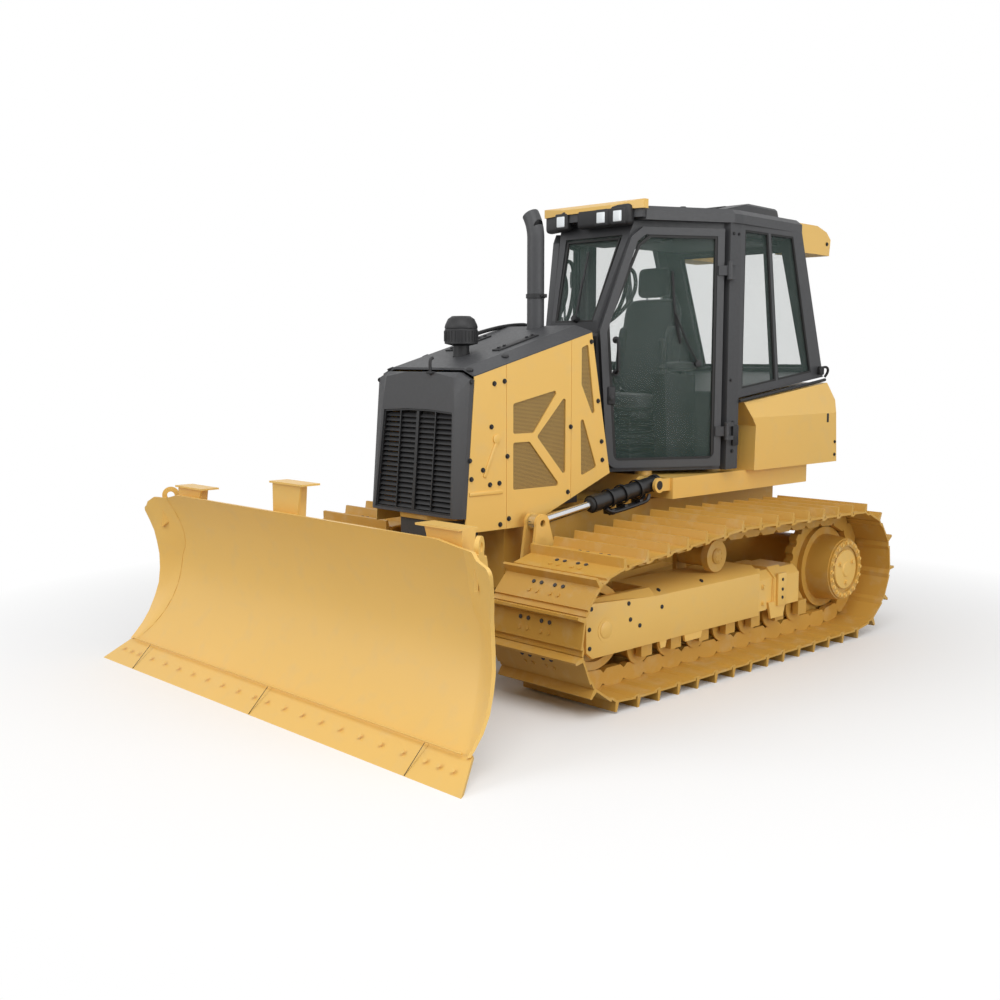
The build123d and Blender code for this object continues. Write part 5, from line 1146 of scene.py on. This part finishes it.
class DOZER_OT_rear(bpy.types.Operator):
    """Fit latches, caps, covers and vents to the rear body, the air conditioner and the roof"""
    bl_idname = "dozer.rear"
    bl_label = "Rear body"

    def execute(self, context):
        marks = Form()
        marks.block((0.024, 0.010, 0.062), (-2.050, 0.664, 1.372), 0.004, 3)
        for z in (1.110, 1.200):
            marks.bolt((-2.150, 0.665, z), LEFT, 0.009, 0.008)
        marks.both_sides()
        marks.turned([(0.0, 0.0), (0.058, 0.0), (0.060, 0.012), (0.060, 0.030), (0.050, 0.040), (0.0, 0.042)],
                     (-2.223, 0.0, 1.360), BACKWARD, 36)
        marks.block((0.018, 0.110, 0.022), (-2.270, 0.0, 1.360), 0.006, 3)
        marks.piece("tank_fittings")

        panels = Form()
        rear = in_plane((-2.2225, 0.0, 0.0), (0, -1, 0), BACKWARD)
        for start, end in ((-0.560, -0.130), (0.130, 0.560)):
            panels.plate([(start, 1.120), (end, 1.120), (end, 1.225), (start, 1.225)], rear, 0.006, bevel=0.002)
        panels.piece("rear_covers", "body_paint")

        vents = Form()
        for step in range(9):
            x = -1.150 - step * 0.034
            z = 2.732 + (-1.080 - x) / 0.410 * 0.086
            place = in_plane((x, 0.0, z + 0.002), (0.9, 0, -0.2), (0.206, 0, 0.978))
            vents.block((0.010, 0.420, 0.008), place, 0.002, 1)
        for side in (-1, 1):
            for x in (-1.200, -1.480, -1.760):
                vents.bolt((x, side * 0.360, 2.735), (0, side, 0), 0.009, 0.008)
        vents.piece("air_vents")

        plugs = Form()
        roof_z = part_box("cab_roof")[1].z
        for x, y in ((-0.620, 0.470), (-1.300, 0.560), (-0.980, 0.250)):
            plugs.drum((x, y, roof_z + 0.002), UP, 0.018, 0.008, 20, bevel=0.002)
        plugs.both_sides().piece("roof_plugs", "rubber")
        return {"FINISHED"}


class DOZER_OT_stage(bpy.types.Operator):
    """Lay the floor and set the lamps and the camera"""
    bl_idname = "dozer.stage"
    bl_label = "Stage"

    eye = (5.422, 5.134, 1.808)
    yaw, pitch = radians(226.166), radians(-6.898)
    aim = Vector((0, 0, 1.2))

    def execute(self, context):
        settings = context.scene.dozer_stage
        mesh = bpy.data.meshes.new("floor")
        form = bmesh.new()
        bmesh.ops.create_grid(form, x_segments=1, y_segments=1, size=60.0)
        form.to_mesh(mesh)
        form.free()
        floor = bpy.data.objects.new("floor", mesh)
        context.collection.objects.link(floor)
        assign(floor, pale_floor())

        world = bpy.data.worlds.new("studio")
        context.scene.world = world
        nodes = NodeTree(world)
        camera, through, mirrored = nodes.outputs(
            "ShaderNodeLightPath", ("Is Camera Ray", "Is Transmission Ray", "Is Glossy Ray"))
        dim, bright = (nodes.node("ShaderNodeBackground", Color=(1.0, 1.0, 1.0), Strength=strength)
                       for strength in (settings.sky, 1.0))
        seen = camera.larger(through).larger(mirrored)
        nodes.node("ShaderNodeOutputWorld", Surface=nodes.node("ShaderNodeMixShader", _0=seen, _1=dim, _2=bright))

        for name, place, size, power in (
            ("key_lamp", (3.5, 4.5, 7.5), 6.0, settings.key),
            ("fill_lamp", (8.0, -2.0, 4.0), 5.0, settings.fill),
            ("side_lamp", (-1.0, 9.0, 3.0), 5.0, settings.side),
        ):
            lamp = bpy.data.lights.new(name, "AREA")
            lamp.energy = power
            lamp.size = size
            self.place(context, name, lamp, place, self.aim - Vector(place))

        camera = bpy.data.cameras.new("camera")
        camera.sensor_width = 36.0
        camera.lens = settings.lens * 1000.0
        look = Vector((cos(self.yaw) * cos(self.pitch), sin(self.yaw) * cos(self.pitch), sin(self.pitch)))
        context.scene.camera = self.place(context, "camera", camera, self.eye, look)
        context.scene.view_settings.view_transform = "Standard"
        return {"FINISHED"}

    def place(self, context, name, data, spot, look):
        """Puts a lamp or camera at the spot, looking that way."""
        obj = bpy.data.objects.new(name, data)
        obj.location = spot
        obj.rotation_euler = look.to_track_quat("-Z", "Y").to_euler()
        context.collection.objects.link(obj)
        return obj


OPERATORS = (
    DOZER_OT_finishes,
    DOZER_OT_hood,
    DOZER_OT_intake,
    DOZER_OT_lamps,
    DOZER_OT_doors,
    DOZER_OT_cab,
    DOZER_OT_seat,
    DOZER_OT_controls,
    DOZER_OT_tracks,
    DOZER_OT_track_frames,
    DOZER_OT_hydraulics,
    DOZER_OT_blade,
    DOZER_OT_rear,
    DOZER_OT_stage,
)


class DOZER_PT_panel(bpy.types.Panel):
    """Lists the machine's operators"""
    bl_idname = "DOZER_PT_panel"
    bl_label = "Bulldozer"
    bl_space_type = "VIEW_3D"
    bl_region_type = "UI"
    bl_category = "Bulldozer"

    def draw(self, context):
        for operator in OPERATORS:
            self.layout.operator(operator.bl_idname)


CLASSES = (DozerColours, DozerStage, *OPERATORS, DOZER_PT_panel)


def register():
    for item in CLASSES:
        bpy.utils.register_class(item)
    bpy.types.Scene.dozer_colours = bpy.props.PointerProperty(type=DozerColours)
    bpy.types.Scene.dozer_stage = bpy.props.PointerProperty(type=DozerStage)


def unregister():
    del bpy.types.Scene.dozer_stage
    del bpy.types.Scene.dozer_colours
    for item in reversed(CLASSES):
        bpy.utils.unregister_class(item)


def main():
    register()
    for operator in OPERATORS:
        group, name = operator.bl_idname.split(".")
        getattr(getattr(bpy.ops, group), name)()


if __name__ == "__main__":
    main()
